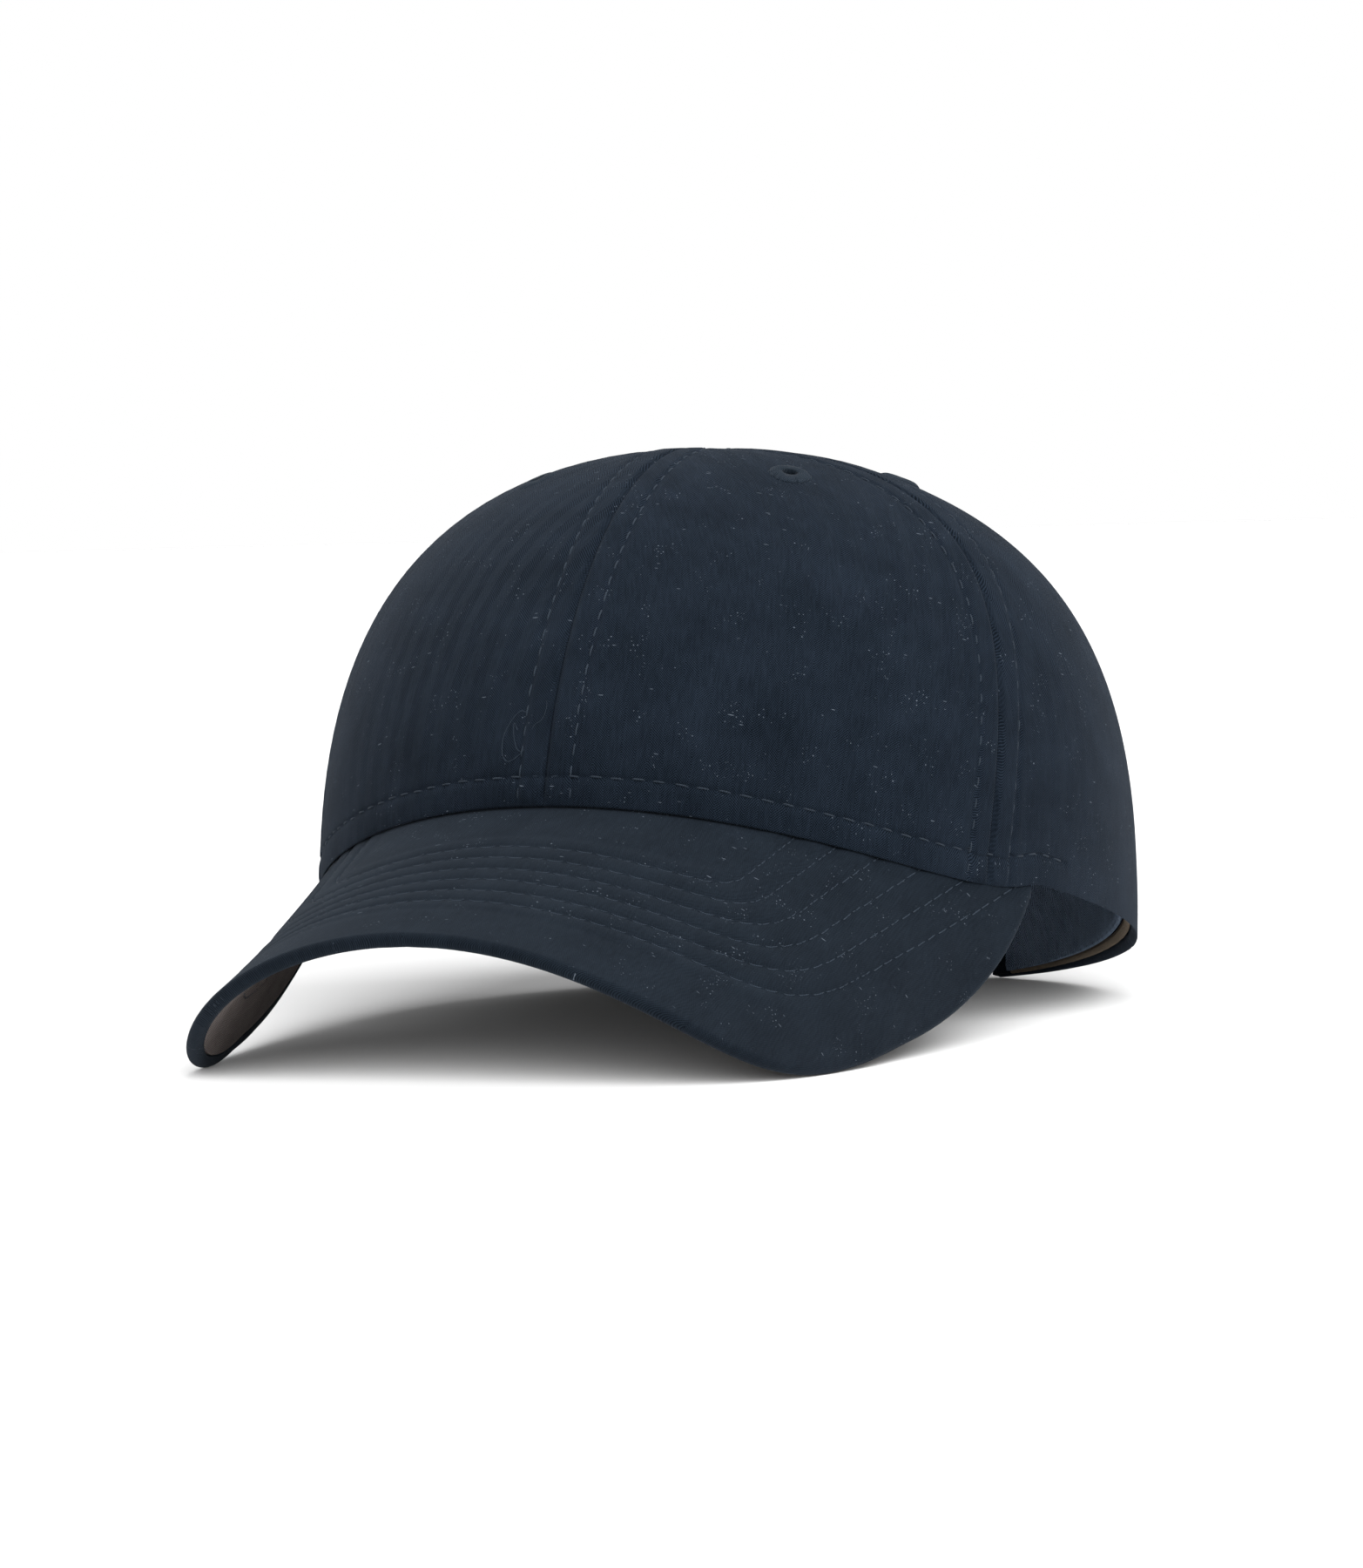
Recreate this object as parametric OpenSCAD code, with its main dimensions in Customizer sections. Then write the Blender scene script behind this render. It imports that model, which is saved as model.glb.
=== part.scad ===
// Six-panel structured baseball cap with a pre-curved visor and a hook-and-loop strap at the back.
// The wearer faces -Y and +X is the wearer's left. The cap rests on its visor tips and back hem.
// Shells are lofts through rings of points. Depth is measured inwards from the outer cloth face.

/* [Crown] */
// Half width of the crown at the hem
head_half_w = 87; // [78:0.5:94]
// Distance from the crown's centre to the front of the hem
front_reach = 97.5; // [90:0.5:106]
// Distance from the crown's centre to the back of the hem
back_reach = 102.5; // [94:0.5:110]
// Height of the crown's top above the back hem
crown_h = 112.5; // [104:0.5:120]
// How far the crown's top lies ahead of the crown's centre
top_forward = 17.5; // [10:0.5:24]
// Angle of the front and side seam at the hem, from the front
front_seam_hem = 62.5; // [58:0.5:68]
// Angle of the front and side seam at the top
front_seam_top = 77; // [66:0.5:82]
// Angle of the side and back seam, from the front
back_seam = 122; // [116:0.5:126]

/* [Visor] */
// Height above the back hem at which the visor meets the front of the crown
visor_z = 31.2; // [24:0.2:36]
// Downward slope of the visor along its centre line
visor_pitch = 26.5; // [18:0.5:32]
// Half width of the visor's arch across the hem's front
visor_half_w = 75.6; // [72:0.2:84]
// Drop of the visor's arch from its centre to its sides
visor_drop = 56.5; // [48:0.5:64]
// Narrowing of the arch towards the front, in percent for each 100 mm
visor_taper = 32; // [20:0.2:40]
// Length of the visor on its centre line
visor_len = 69.5; // [60:0.5:80]
// Angle round the arch that the visor's side edges reach
visor_wrap = 83; // [78:0.1:84]
// Squareness of the visor's outline
visor_square = 3.2; // [2.4:0.1:3.6]
// How far the visor's widest place lies ahead of its ends
visor_end_run = 59.5; // [48:0.5:62]
// Angle round the hem at which the visor ends, from the front
visor_end = 71.5; // [68:0.1:75]
// How far the visor's rim curls up off its arch
visor_lift = 4.3; // [0:0.1:6]

/* [Cloth] */
// Thickness of the crown's panels
panel_t = 1.2; // [0.8:0.1:1.3]
// Thickness of each visor cover
cover_t = 0.7; // [0.6:0.1:1.2]
// Thickness of the visor board
board_t = 1.4; // [1.4:0.1:2.4]
// Height of the sweatband
band_h = 32; // [26:1:38]
// Width of the seam tapes
tape_w = 12; // [8:1:14]

/* [Back opening] */
// Half width of the arched opening at the hem
arch_half_w = 26; // [24:0.5:36]
// Height of the arched opening
arch_h = 46; // [40:1:50]
// Height of the opening's straight sides
arch_side = 20; // [16:1:24]
// Height of the two straps
strap_h = 22; // [18:1:25]
// Thickness of each strap
strap_t = 1.4; // [1:0.1:1.5]

/* [Eyelets] */
// Angle of the front eyelets, from the front
eyelet_front = 48; // [40:1:52]
// Height parameter of the eyelets, where 90 is the top
eyelet_rise = 65; // [58:1:70]
// Outer radius of an eyelet's stitched rim
eyelet_r = 4.6; // [3.6:0.1:5]

/* [Hidden] */

NAVY = "#2f3a44";
BLACK = "#22262c";
TAUPE = "#6f665c";

gap = 0.3;             // clearance between neighbouring layers
seam_gap = 0.12;       // half of the gap left along each panel seam, in degrees
top_rise = 88.5;       // where the panels stop short of the very top
rise_step = 7.5;       // steps along a panel's height parameter

// Depths of the layers inside the outer face
buckram_d = panel_t + gap;
buckram_t = 0.5;
tape_d = buckram_d + buckram_t + gap;
tape_t = 0.6;
band_d = tape_d + tape_t + gap;
band_t = 1.2;
band_low = 0.4;        // height of the sweatband's lower edge above the hem
piping_d = panel_t + 0.5;
piping_t = 1.3;
piping_high = 2.1;     // height of the piping's upper edge above the hem
lining_low = 4;        // height parameter at which the stiffener and the tapes start
buckram_top = 60;      // and where the stiffener,
tape_top = 76;         // the side tapes
apex = 84;             // and the front half of the centre tape end
visor_inner_d = band_d - 0.4;
visor_gap = 0.2;
board_d = cover_t + visor_gap;
under_d = board_d + board_t + visor_gap;
visor_t = under_d + cover_t;

// Powers that shape the crown's profile at the front, side and back
LEAN = [0.95, 0.89, 1.1];
RISE = [1.25, 0.63, 1.11];
hem_slope = -25.2;     // how the side hem leaves the visor's end on its way down to the back

strap_low = 2.8;       // height of the straps' lower edge above the back hem
knuckle_x = arch_half_w - 3.6;
pad_t = 0.6;
pad_gap = 0.3;         // between the hooks and the loops
glue_gap = 0.1;        // between a pad and its own strap
hook_d = (panel_t - strap_t) / 2;
loop_d = hook_d + strap_t + 2 * pad_t + 2 * glue_gap + pad_gap;
arch_taper = 1.2;      // how far each straight side of the arch leans in

// --- points ---

function between(a, b, t) = a + (b - a) * t;
function unit(v) = v / norm(v);
function mix3(v, th) = v[1] + (v[0] - v[1]) * pow(max(cos(th), 0), 2)
    + (v[2] - v[1]) * pow(max(-cos(th), 0), 2);

// Hem outline at angle th and depth d
function hem_x(th, d) = (head_half_w - d) * sin(th);
function hem_y(th, d) = -((cos(th) > 0 ? front_reach : back_reach) - d) * cos(th);

// Visor surface: om is the angle round the arch, v the distance ahead of the crown
function visor_pt(om, v) =
    let (k = 1 - visor_taper * v / 10000, drop = visor_drop * k * (1 - cos(om)))
    [visor_half_w * k * sin(om),
     -front_reach - v * cos(visor_pitch) + drop * sin(visor_pitch),
     visor_z - v * sin(visor_pitch) - drop * cos(visor_pitch)];
function visor_normal(om, v) = unit(cross(visor_pt(om, v + 0.5) - visor_pt(om, v - 0.5),
    visor_pt(om + 0.5, v) - visor_pt(om - 0.5, v)));
// The [om, v] of the visor's surface that lies above or below a place of the hem
function visor_at(x, y, v = 0, n = 8) =
    let (k = 1 - visor_taper * v / 10000,
         s = max(min(x / (visor_half_w * k), 0.9999), -0.9999),
         drop = visor_drop * k * (1 - sqrt(1 - s * s)),
         next = (-front_reach - y + drop * sin(visor_pitch)) / cos(visor_pitch))
    n == 0 ? [asin(s), v] : visor_at(x, y, next, n - 1);

// Height of the crown's lower edge
function visor_hem_z(th, d) =
    let (a = visor_at(hem_x(th, d), hem_y(th, d))) visor_pt(a[0], a[1])[2] + gap;
function hem_z(th, d) =
    let (a = th > 180 ? 360 - th : abs(th), s = (a - visor_end) / (180 - visor_end))
    a <= visor_end ? visor_hem_z(a, d)
    : (2 * s * s * s - 3 * s * s + 1) * visor_hem_z(visor_end, d)
        + (s * s * s - 2 * s * s + s) * hem_slope;

// Crown surface at angle th, height parameter ph (0 hem, 90 top) and depth d
function crown_pt(th, ph, d) =
    let (r = pow(cos(ph), mix3(LEAN, th)), z0 = hem_z(th, d))
    [hem_x(th, d) * r,
     -top_forward + (hem_y(th, d) + top_forward) * r,
     z0 + (crown_h - d - z0) * pow(sin(ph), mix3(RISE, th))];
function crown_normal(th, ph, d) = unit(cross(crown_pt(th + 0.5, ph, d) - crown_pt(th - 0.5, ph, d),
    crown_pt(th, ph + 0.5, d) - crown_pt(th, ph - 0.5, d)));
// Height parameter of the place h above the hem
function rise_at(th, h, d) =
    h <= 0 ? 0 : asin(pow(h / (crown_h - d - hem_z(th, d)), 1 / mix3(RISE, th)));
function front_seam(ph) = between(front_seam_hem, front_seam_top, sin(ph));

// Rear arch: straight sides that lean in a little, under half an ellipse
arch_top_w = arch_half_w - arch_taper;
function hem_th(x) = 180 - asin(x / head_half_w);
arch_th = hem_th(arch_half_w);
function arch_edge_h(th) =
    let (x = hem_x(th, 0))
    x > arch_top_w ? arch_side * max(arch_half_w - x, 0) / arch_taper
    : arch_side + (arch_h - arch_side) * sqrt(max(1 - pow(x / arch_top_w, 2), 0));
// [x, height] on the arch's edge, grown outwards; s runs from -1 to 1 over it
function arch_pt(s, grow) =
    let (side = (1 - abs(s)) / 0.25, a = s * 120)
    side < 1 ? [sign(s) * (arch_half_w + grow - arch_taper * side), arch_side * side]
    : [(arch_top_w + grow) * sin(a), arch_side + (arch_h - arch_side + grow) * cos(a)];
// Place on the crown's wall at angle th, height h above the hem and depth d
function wall_pt(th, h, d) = crown_pt(th, rise_at(th, h, d), d);
// The same on a strap, which is straight from its lower edge to its upper one
function strap_pt(th, h, d) = between(wall_pt(th, strap_low, d), wall_pt(th, strap_low + strap_h, d),
    (h - strap_low) / strap_h);
// Place on the arch's binding: q is [distance outside the arch's edge, depth]
function binding_pt(s, q) =
    let (e = arch_pt(s, q[0])) wall_pt(hem_th(e[0]), e[1], q[1]);
binding_ss = [for (k = [-14:14]) k / 14 * 0.99];
binding_lip = 5;
binding_proud = 0.9;

// Visor outline: t runs from -1 at the right end to 1 at the left end
function visor_edge(t) =
    let (tip = visor_at(hem_x(visor_end, 0), hem_y(visor_end, 0)),
         wide_v = tip[1] + visor_end_run, a = min(abs(t) / 0.8, 1) * 90,
         w = max((abs(t) - 0.8) / 0.2, 0))
    abs(t) <= 0.8
        ? [sign(t) * visor_wrap * pow(sin(a), 2 / visor_square),
           wide_v + (visor_len - wide_v) * pow(cos(a), 2 / visor_square)]
        : [sign(t) * between(visor_wrap, tip[0], w * w), between(wide_v, tip[1], w)];
// Place on the visor: w is 0 at the crown and 1 at the outer edge
function visor_curl(t, w) = visor_lift * w * w * min(1, 4 * (1 - abs(t)));
function visor_place(t, w, d) =
    let (th = t * visor_end,
         a = visor_at(hem_x(th, visor_inner_d), hem_y(th, visor_inner_d)),
         p = between(a, visor_edge(t), w))
    visor_pt(p[0], p[1]) - (d - visor_curl(t, w)) * visor_normal(p[0], p[1]);

// --- resting pose ---

// The cap tips forwards until its visor's edge is level with the hem beside the rear arch
rest_hem = crown_pt(arch_th, 0, 0);
rest_edge = [for (t = [-1:0.02:1], d = [0, visor_t]) visor_place(t * 0.985, 1, d)];
rest_tilt = max([for (p = rest_edge) atan2(rest_hem[2] - p[2], rest_hem[1] - p[1])]);
function tilted(p) = [p[0], p[1] * cos(rest_tilt) + p[2] * sin(rest_tilt),
    p[2] * cos(rest_tilt) - p[1] * sin(rest_tilt)];
rest_low = min([for (p = rest_edge) tilted(p)[2]]);
rest_front = min([for (p = rest_edge) tilted(p)[1]]);
rest_back = max([for (z = [strap_low, strap_low + strap_h]) tilted(strap_pt(180, z, hook_d))[1]]);

module placed() {
    translate([0, -(rest_front + rest_back) / 2, -rest_low])
        rotate([-rest_tilt, 0, 0])
            children();
}

// --- shells ---

// Solid through closed rings of points; cap lists the start ring's faces
module loft(rings, cap) {
    n = len(rings[0]);
    last = (len(rings) - 1) * n;
    sides = [for (k = [0:len(rings) - 2], i = [0:n - 1])
        let (a = k * n + i, b = k * n + (i + 1) % n) each [[a, b, b + n], [a, b + n, a + n]]];
    starts = [for (f = cap) [f[2], f[1], f[0]]];
    ends = [for (f = cap) [for (i = f) i + last]];
    polyhedron([for (r = rings) each r], concat(sides, starts, ends));
}

// The cap faces of a ring made of m outer points and the same m inner points, reversed
function strip_cap(m) = [for (i = [0:m - 2])
    let (j = 2 * m - 1 - i) each [[i, i + 1, j - 1], [i, j - 1, j]]];

// Shell between an outer and an inner sheet, each a list of columns of points
module shell(outer, inner) {
    m = len(outer[0]);
    rings = [for (k = [0:len(outer) - 1]) concat(outer[k], [for (i = [m - 1:-1:0]) inner[k][i]])];
    loft(rings, strip_cap(m));
}

// Columns on the crown between two angles that may change with height
function crown_sheet(th_a, th_b, rises, d, steps) = [for (k = [0:steps])
    [for (ph = rises) crown_pt(between(th_a(ph), th_b(ph), k / steps), ph, d)]];

module crown_shell(th_a, th_b, rises, d, t, steps) {
    shell(crown_sheet(th_a, th_b, rises, d, steps), crown_sheet(th_a, th_b, rises, d + t, steps));
}

module visor_shell(ts, ws, top, bottom) {
    sheet_a = [for (t = ts) [for (w = ws) visor_place(t, w, top(w))]];
    sheet_b = [for (t = ts) [for (w = ws) visor_place(t, w, bottom(w))]];
    shell(sheet_a, sheet_b);
}

panel_rises = [each [0:rise_step:top_rise - 2], top_rise];

// --- crown panels ---

module left_or_right(side) {
    if (side < 0) mirror([1, 0, 0]) children();
    else children();
}

module front_panel(side) {
    color(NAVY) placed() left_or_right(side)
        difference() {
            crown_shell(function(ph) seam_gap, function(ph) front_seam(ph) - seam_gap,
                panel_rises, 0, panel_t, 9);
            eyelet_hole(eyelet_front);
        }
}

module side_panel(side) {
    color(NAVY) placed() left_or_right(side)
        difference() {
            crown_shell(function(ph) front_seam(ph) + seam_gap, function(ph) back_seam - seam_gap,
                panel_rises, 0, panel_t, 8);
            eyelet_hole(eyelet_side);
        }
}

// The back panel's columns stand closer together over the arch
back_cols = [each [for (k = [0:7]) between(back_seam + seam_gap, arch_th, k / 7)],
    each [for (k = [0:9]) hem_th(arch_top_w * cos(90 * k / 10))], 180 - seam_gap];
function back_col(th, d) =
    let (low = rise_at(th, arch_edge_h(th), d))
    [for (k = [0:12]) crown_pt(th, between(low, top_rise, k / 12), d)];

module back_panel(side) {
    color(NAVY) placed() left_or_right(side)
        difference() {
            shell([for (th = back_cols) back_col(th, 0)], [for (th = back_cols) back_col(th, panel_t)]);
            eyelet_hole(eyelet_back);
        }
}

// --- stiffener and tapes ---

module buckram(side) {
    color(BLACK) placed() left_or_right(side)
        crown_shell(function(ph) 1, function(ph) front_seam(ph) - 3,
            [for (k = [0:8]) between(lining_low, buckram_top, k / 8)], buckram_d, buckram_t, 8);
}

// Half width of a tape as an angle at height parameter ph
function tape_half(ph) = tape_w / 2 / (head_half_w * cos(ph)) * 180 / PI;

module seam_tape(side, seam) {
    color(BLACK) placed() left_or_right(side)
        crown_shell(function(ph) seam(ph) - tape_half(ph), function(ph) seam(ph) + tape_half(ph),
            [for (k = [0:10]) between(lining_low, tape_top, k / 10)], tape_d, tape_t, 2);
}

// The centre tape runs over the top from the front hem to the rear arch
module centre_seam_tape() {
    arch_top = rise_at(180, arch_h + 2, tape_d);
    // Each row is [the middle's angle, the way its angles run, height parameter]
    front = [for (k = [0:9]) [0, 1, between(lining_low, apex, k / 9)]];
    back = [for (k = [0:7]) [180, -1, between(apex, arch_top, k / 7)]];
    function row(p, d) = [for (q = [1, 0, -1]) crown_pt(p[0] + p[1] * q * tape_half(p[2]), p[2], d)];
    rows = concat(front, back);
    color(BLACK) placed()
        shell([for (p = rows) row(p, tape_d)], [for (p = rows) row(p, tape_d + tape_t)]);
}

// --- eyelets ---

eyelet_side = 98;
eyelet_back = 150;
eyelet_bore = 1.6;
eyelet_lip = 0.45;
eyelet_clear = 0.3;
eyelet_rim = 1.6;      // how far the rim reaches past its hole in the cloth
hole_r = eyelet_r - eyelet_rim;

module on_crown(th, ph) {
    n = crown_normal(th, ph, 0);
    translate(crown_pt(th, ph, 0))
        rotate([0, acos(n[2]), atan2(n[1], n[0])])
            children();
}

module eyelet_hole(th) {
    on_crown(th, eyelet_rise)
        translate([0, 0, -4])
            cylinder(r = hole_r, h = 8, $fn = 24);
}

module eyelet(side, th) {
    low = -panel_t - eyelet_clear - eyelet_lip;
    high = eyelet_clear + eyelet_lip;
    neck = hole_r - eyelet_clear;
    color(NAVY) placed() left_or_right(side) on_crown(th, eyelet_rise)
        rotate_extrude($fn = 24)
            polygon([[eyelet_bore, low], [eyelet_r - 0.6, low], [eyelet_r - 0.6, low + eyelet_lip],
                [neck, low + eyelet_lip], [neck, high - eyelet_lip], [eyelet_r, high - eyelet_lip],
                [eyelet_r - 0.4, high], [eyelet_bore, high]]);
}

// --- visor ---

rim_w = 0.96;
cover_ts = [for (k = [-20:20]) 0.985 * k / 20];
board_ts = [for (k = [-18:18]) 0.985 * k / 20];
cover_ws = [0, 0.14, 0.3, 0.46, 0.62, 0.78, 0.92, rim_w, rim_w + 0.006, 1];
board_ws = [0.05, 0.2, 0.4, 0.6, 0.8, rim_w - 0.015];

// The top cover turns down over the board's edge to meet the underside cover
module visor_top_cover() {
    color(NAVY) placed()
        visor_shell(cover_ts, cover_ws, function(w) 0,
            function(w) w > rim_w ? under_d - 0.1 : cover_t);
}

module visor_board() {
    color(BLACK) placed()
        visor_shell(board_ts, board_ws, function(w) board_d, function(w) board_d + board_t);
}

module visor_underside_cover() {
    color(NAVY) placed()
        visor_shell(cover_ts, [for (k = [0:7]) k / 7], function(w) under_d, function(w) visor_t);
}

// --- sweatband ---

// It stops short of the arch's binding
band_end = hem_th(arch_half_w + binding_lip + 0.6);
band_cols = [for (k = [-26:26]) k / 26 * band_end];
function band_col(th, low, high, d, steps) = [for (k = [0:steps])
    crown_pt(th, rise_at(th, between(low, high, k / steps), d), d)];

module band_strip(low, high, d, t, steps) {
    shell([for (th = band_cols) band_col(th, low, high, d, steps)],
        [for (th = band_cols) band_col(th, low, high, d + t, steps)]);
}

module sweatband() {
    color(BLACK) placed() band_strip(band_low, band_h, band_d, band_t, 3);
}

module sweatband_piping() {
    color(TAUPE) placed() band_strip(gap, piping_high, piping_d, piping_t, 1);
}

// --- rear opening ---

// A folded tape round the arch: points run from its outer lip, round the cut edge, to its inner lip
module opening_binding() {
    lip = binding_lip;
    proud = binding_proud;
    inside = 0.4;
    fold = [[lip, -proud], [-proud, -proud], [-proud, panel_t + proud], [lip, panel_t + proud],
        [lip, panel_t + inside], [-inside, panel_t + inside], [-inside, -inside], [lip, -inside]];
    fold_cap = [[0, 1, 6], [0, 6, 7], [1, 2, 5], [1, 5, 6], [2, 3, 4], [2, 4, 5]];
    rings = [for (s = binding_ss) [for (q = fold) binding_pt(s, q)]];
    color(NAVY) placed() loft(rings, fold_cap);
}

// --- straps ---

// A curved strip round the back of the crown from angle a to angle b
module strap_strip(a, b, low, high, d, t, steps) {
    function col(th, depth) = [for (h = [low, high]) strap_pt(th, h, depth)];
    cols = [for (k = [0:steps]) between(a, b, k / steps)];
    shell([for (th = cols) col(th, d)], [for (th = cols) col(th, d + t)]);
}

// The rounded sewn end of a free strap, on the line it bends about
function knuckle_end(x, z, d) = strap_pt(hem_th(x), z, d + strap_t / 2);
module knuckle(x, d) {
    low = knuckle_end(x, strap_low, d);
    high = knuckle_end(x, strap_low + strap_h, d);
    n = unit(high - low);
    translate(low)
        rotate([0, acos(n[2]), atan2(n[1], n[0])])
            cylinder(r = strap_t / 2, h = norm(high - low), $fn = 24);
}

module hook_strap() {
    color(NAVY) placed() {
        strap_strip(hem_th(knuckle_x), hem_th(7 - arch_half_w), strap_low, strap_low + strap_h,
            hook_d, strap_t, 12);
        knuckle(knuckle_x, hook_d);
    }
}

module loop_strap() {
    color(NAVY) placed() {
        strap_strip(hem_th(arch_half_w - 9), hem_th(-knuckle_x), strap_low, strap_low + strap_h,
            loop_d, strap_t, 12);
        knuckle(-knuckle_x, loop_d);
    }
}

pad_inset = 2;         // how far a pad stops short of its strap's long edges
module pad(a, b, d) {
    color(BLACK) placed()
        strap_strip(hem_th(a), hem_th(b), strap_low + pad_inset, strap_low + strap_h - pad_inset, d, pad_t, 12);
}
module hook_pad() pad(arch_half_w - 14, 10 - arch_half_w, hook_d + strap_t + glue_gap);
module loop_pad() pad(arch_half_w - 11, 9 - arch_half_w, loop_d - pad_t - glue_gap);

// The sewn ends lie inside the back panels, between the panel and the sweatband
base_t = 0.5;
base_d = panel_t + binding_proud + 0.15;
base_cols = [for (k = [0:5]) hem_th(arch_half_w + between(18, 0.9, k / 5))];
module strap_base(side) {
    function col(th, d) = [for (k = [0:4]) wall_pt(th, strap_low + strap_h * k / 4, d)];
    color(NAVY) placed() left_or_right(side)
        shell([for (th = base_cols) col(th, base_d)], [for (th = base_cols) col(th, base_d + base_t)]);
}
module hook_strap_base() strap_base(1);
module loop_strap_base() strap_base(-1);

front_panel(1);  // front_panel_left
front_panel(-1);  // front_panel_right
side_panel(1);  // side_panel_left
side_panel(-1);  // side_panel_right
back_panel(1);  // back_panel_left
back_panel(-1);  // back_panel_right
buckram(1);  // buckram_left
buckram(-1);  // buckram_right
eyelet(1, eyelet_front);  // eyelet_front_left
eyelet(-1, eyelet_front);  // eyelet_front_right
eyelet(1, eyelet_side);  // eyelet_side_left
eyelet(-1, eyelet_side);  // eyelet_side_right
eyelet(1, eyelet_back);  // eyelet_back_left
eyelet(-1, eyelet_back);  // eyelet_back_right
centre_seam_tape();
seam_tape(1, function(ph) front_seam(ph));  // front_seam_tape_left
seam_tape(-1, function(ph) front_seam(ph));  // front_seam_tape_right
seam_tape(1, function(ph) back_seam);  // back_seam_tape_left
seam_tape(-1, function(ph) back_seam);  // back_seam_tape_right
visor_top_cover();
visor_board();
visor_underside_cover();
sweatband();
sweatband_piping();
opening_binding();
hook_strap_base();
hook_strap();
hook_pad();
loop_strap_base();
loop_strap();
loop_pad();
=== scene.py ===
"""Six-panel baseball cap: cloth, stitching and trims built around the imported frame."""

import math

import bmesh
import bpy
import numpy as np
from mathutils import Matrix, Vector


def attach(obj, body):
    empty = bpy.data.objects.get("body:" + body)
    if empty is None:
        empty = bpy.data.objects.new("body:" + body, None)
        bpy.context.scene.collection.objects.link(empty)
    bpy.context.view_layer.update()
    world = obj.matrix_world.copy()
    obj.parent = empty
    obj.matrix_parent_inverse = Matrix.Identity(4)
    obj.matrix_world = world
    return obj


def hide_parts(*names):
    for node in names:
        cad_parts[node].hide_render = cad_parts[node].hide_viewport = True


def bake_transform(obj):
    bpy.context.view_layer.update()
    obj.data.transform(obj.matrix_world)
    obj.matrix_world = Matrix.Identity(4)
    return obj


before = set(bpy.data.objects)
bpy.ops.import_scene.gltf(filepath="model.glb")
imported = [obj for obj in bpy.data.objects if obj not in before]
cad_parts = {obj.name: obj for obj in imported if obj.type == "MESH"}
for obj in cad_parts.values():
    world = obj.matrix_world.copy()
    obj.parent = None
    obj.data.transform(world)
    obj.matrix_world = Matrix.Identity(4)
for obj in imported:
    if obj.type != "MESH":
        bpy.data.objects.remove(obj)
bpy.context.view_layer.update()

# ---------------------------------------------------------------- sizes in mm, as in the CAD source
HALF_W, FRONT, BACK, CROWN_H, TOP_Y = 87, 97.5, 102.5, 112.5, 17.5
SEAM_HEM, SEAM_TOP, BACK_SEAM = 62.5, 77, 122
VISOR_Z, PITCH, VISOR_HALF, VISOR_DROP, TAPER = 31.2, 26.5, 75.6, 56.5, 32
VISOR_LEN, WRAP, SQUARE, END_RUN, VISOR_END, LIFT = 69.5, 83, 3.2, 59.5, 71.5, 4.3
PANEL_T, BAND_H, TAPE_W = 1.2, 32, 12
ARCH_HALF, ARCH_H, ARCH_SIDE, ARCH_TAPER = 26, 46, 20, 1.2
STRAP_H, STRAP_T, STRAP_LOW, KNUCKLE_X = 22, 1.4, 2.8, 22.4
LEAN, RISE, HEM_SLOPE = (0.95, 0.89, 1.1), (1.25, 0.63, 1.11), -25.2
BUCKRAM_D, BUCKRAM_T, TAPE_D, TAPE_T, BAND_D, BAND_T = 1.5, 0.5, 2.3, 0.6, 3.2, 1.2
VISOR_INNER_D, COVER_T, UNDER_D, VISOR_T = 2.8, 0.7, 2.5, 3.2
HOOK_D, LOOP_D, PAD_T, GLUE = -0.1, 3.0, 0.6, 0.1
BASE_D, BASE_T, PAD_INSET = 2.25, 0.5, 2
LINING_LOW, BUCKRAM_TOP, TAPE_TOP, APEX = 4, 60, 76, 84
BINDING_LIP, BINDING_PROUD = 5.0, 0.9
EYELET_RISE, EYELET_R, EYELET_BORE = 65, 4.6, 1.6
EYELETS = {"front": 48, "side": 98, "back": 150}
TILT, ORIGIN_Y, ORIGIN_Z = 6.23335, 29.0049, 9.96199


def sind(a):
    return np.sin(np.radians(a))


def cosd(a):
    return np.cos(np.radians(a))


def points(x, y, z):
    return np.stack(np.broadcast_arrays(x, y, z), -1).astype(float)


def unit(v):
    return v / np.maximum(np.linalg.norm(v, axis=-1, keepdims=True), 1e-9)


def smooth(t):
    t = np.clip(t, 0, 1)
    return t * t * (3 - 2 * t)


def bell(x, width):
    return np.exp(-((x / width) ** 2))


def mix3(v, th):
    c = cosd(th)
    return v[1] + (v[0] - v[1]) * np.maximum(c, 0) ** 2 + (v[2] - v[1]) * np.maximum(-c, 0) ** 2


def hem_xy(th, d):
    c = cosd(th)
    return (HALF_W - d) * sind(th), -(np.where(c > 0, FRONT, BACK) - d) * c


def visor_pt(om, v):
    k = 1 - TAPER * v / 1e4
    drop = VISOR_DROP * k * (1 - cosd(om))
    return points(VISOR_HALF * k * sind(om), -FRONT - v * cosd(PITCH) + drop * sind(PITCH),
                  VISOR_Z - v * sind(PITCH) - drop * cosd(PITCH))


def visor_normal(om, v):
    return unit(np.cross(visor_pt(om, v + 0.5) - visor_pt(om, v - 0.5),
                         visor_pt(om + 0.5, v) - visor_pt(om - 0.5, v)))


def visor_at(x, y):
    v = np.zeros_like(x)
    for _ in range(9):
        k = 1 - TAPER * v / 1e4
        s = np.clip(x / (VISOR_HALF * k), -0.9999, 0.9999)
        om = np.degrees(np.arcsin(s))
        last = v
        v = (-FRONT - y + VISOR_DROP * k * (1 - cosd(om)) * sind(PITCH)) / cosd(PITCH)
    return om, last


def visor_hem_z(th, d):
    return visor_pt(*visor_at(*hem_xy(th, d)))[..., 2] + 0.3


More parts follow.
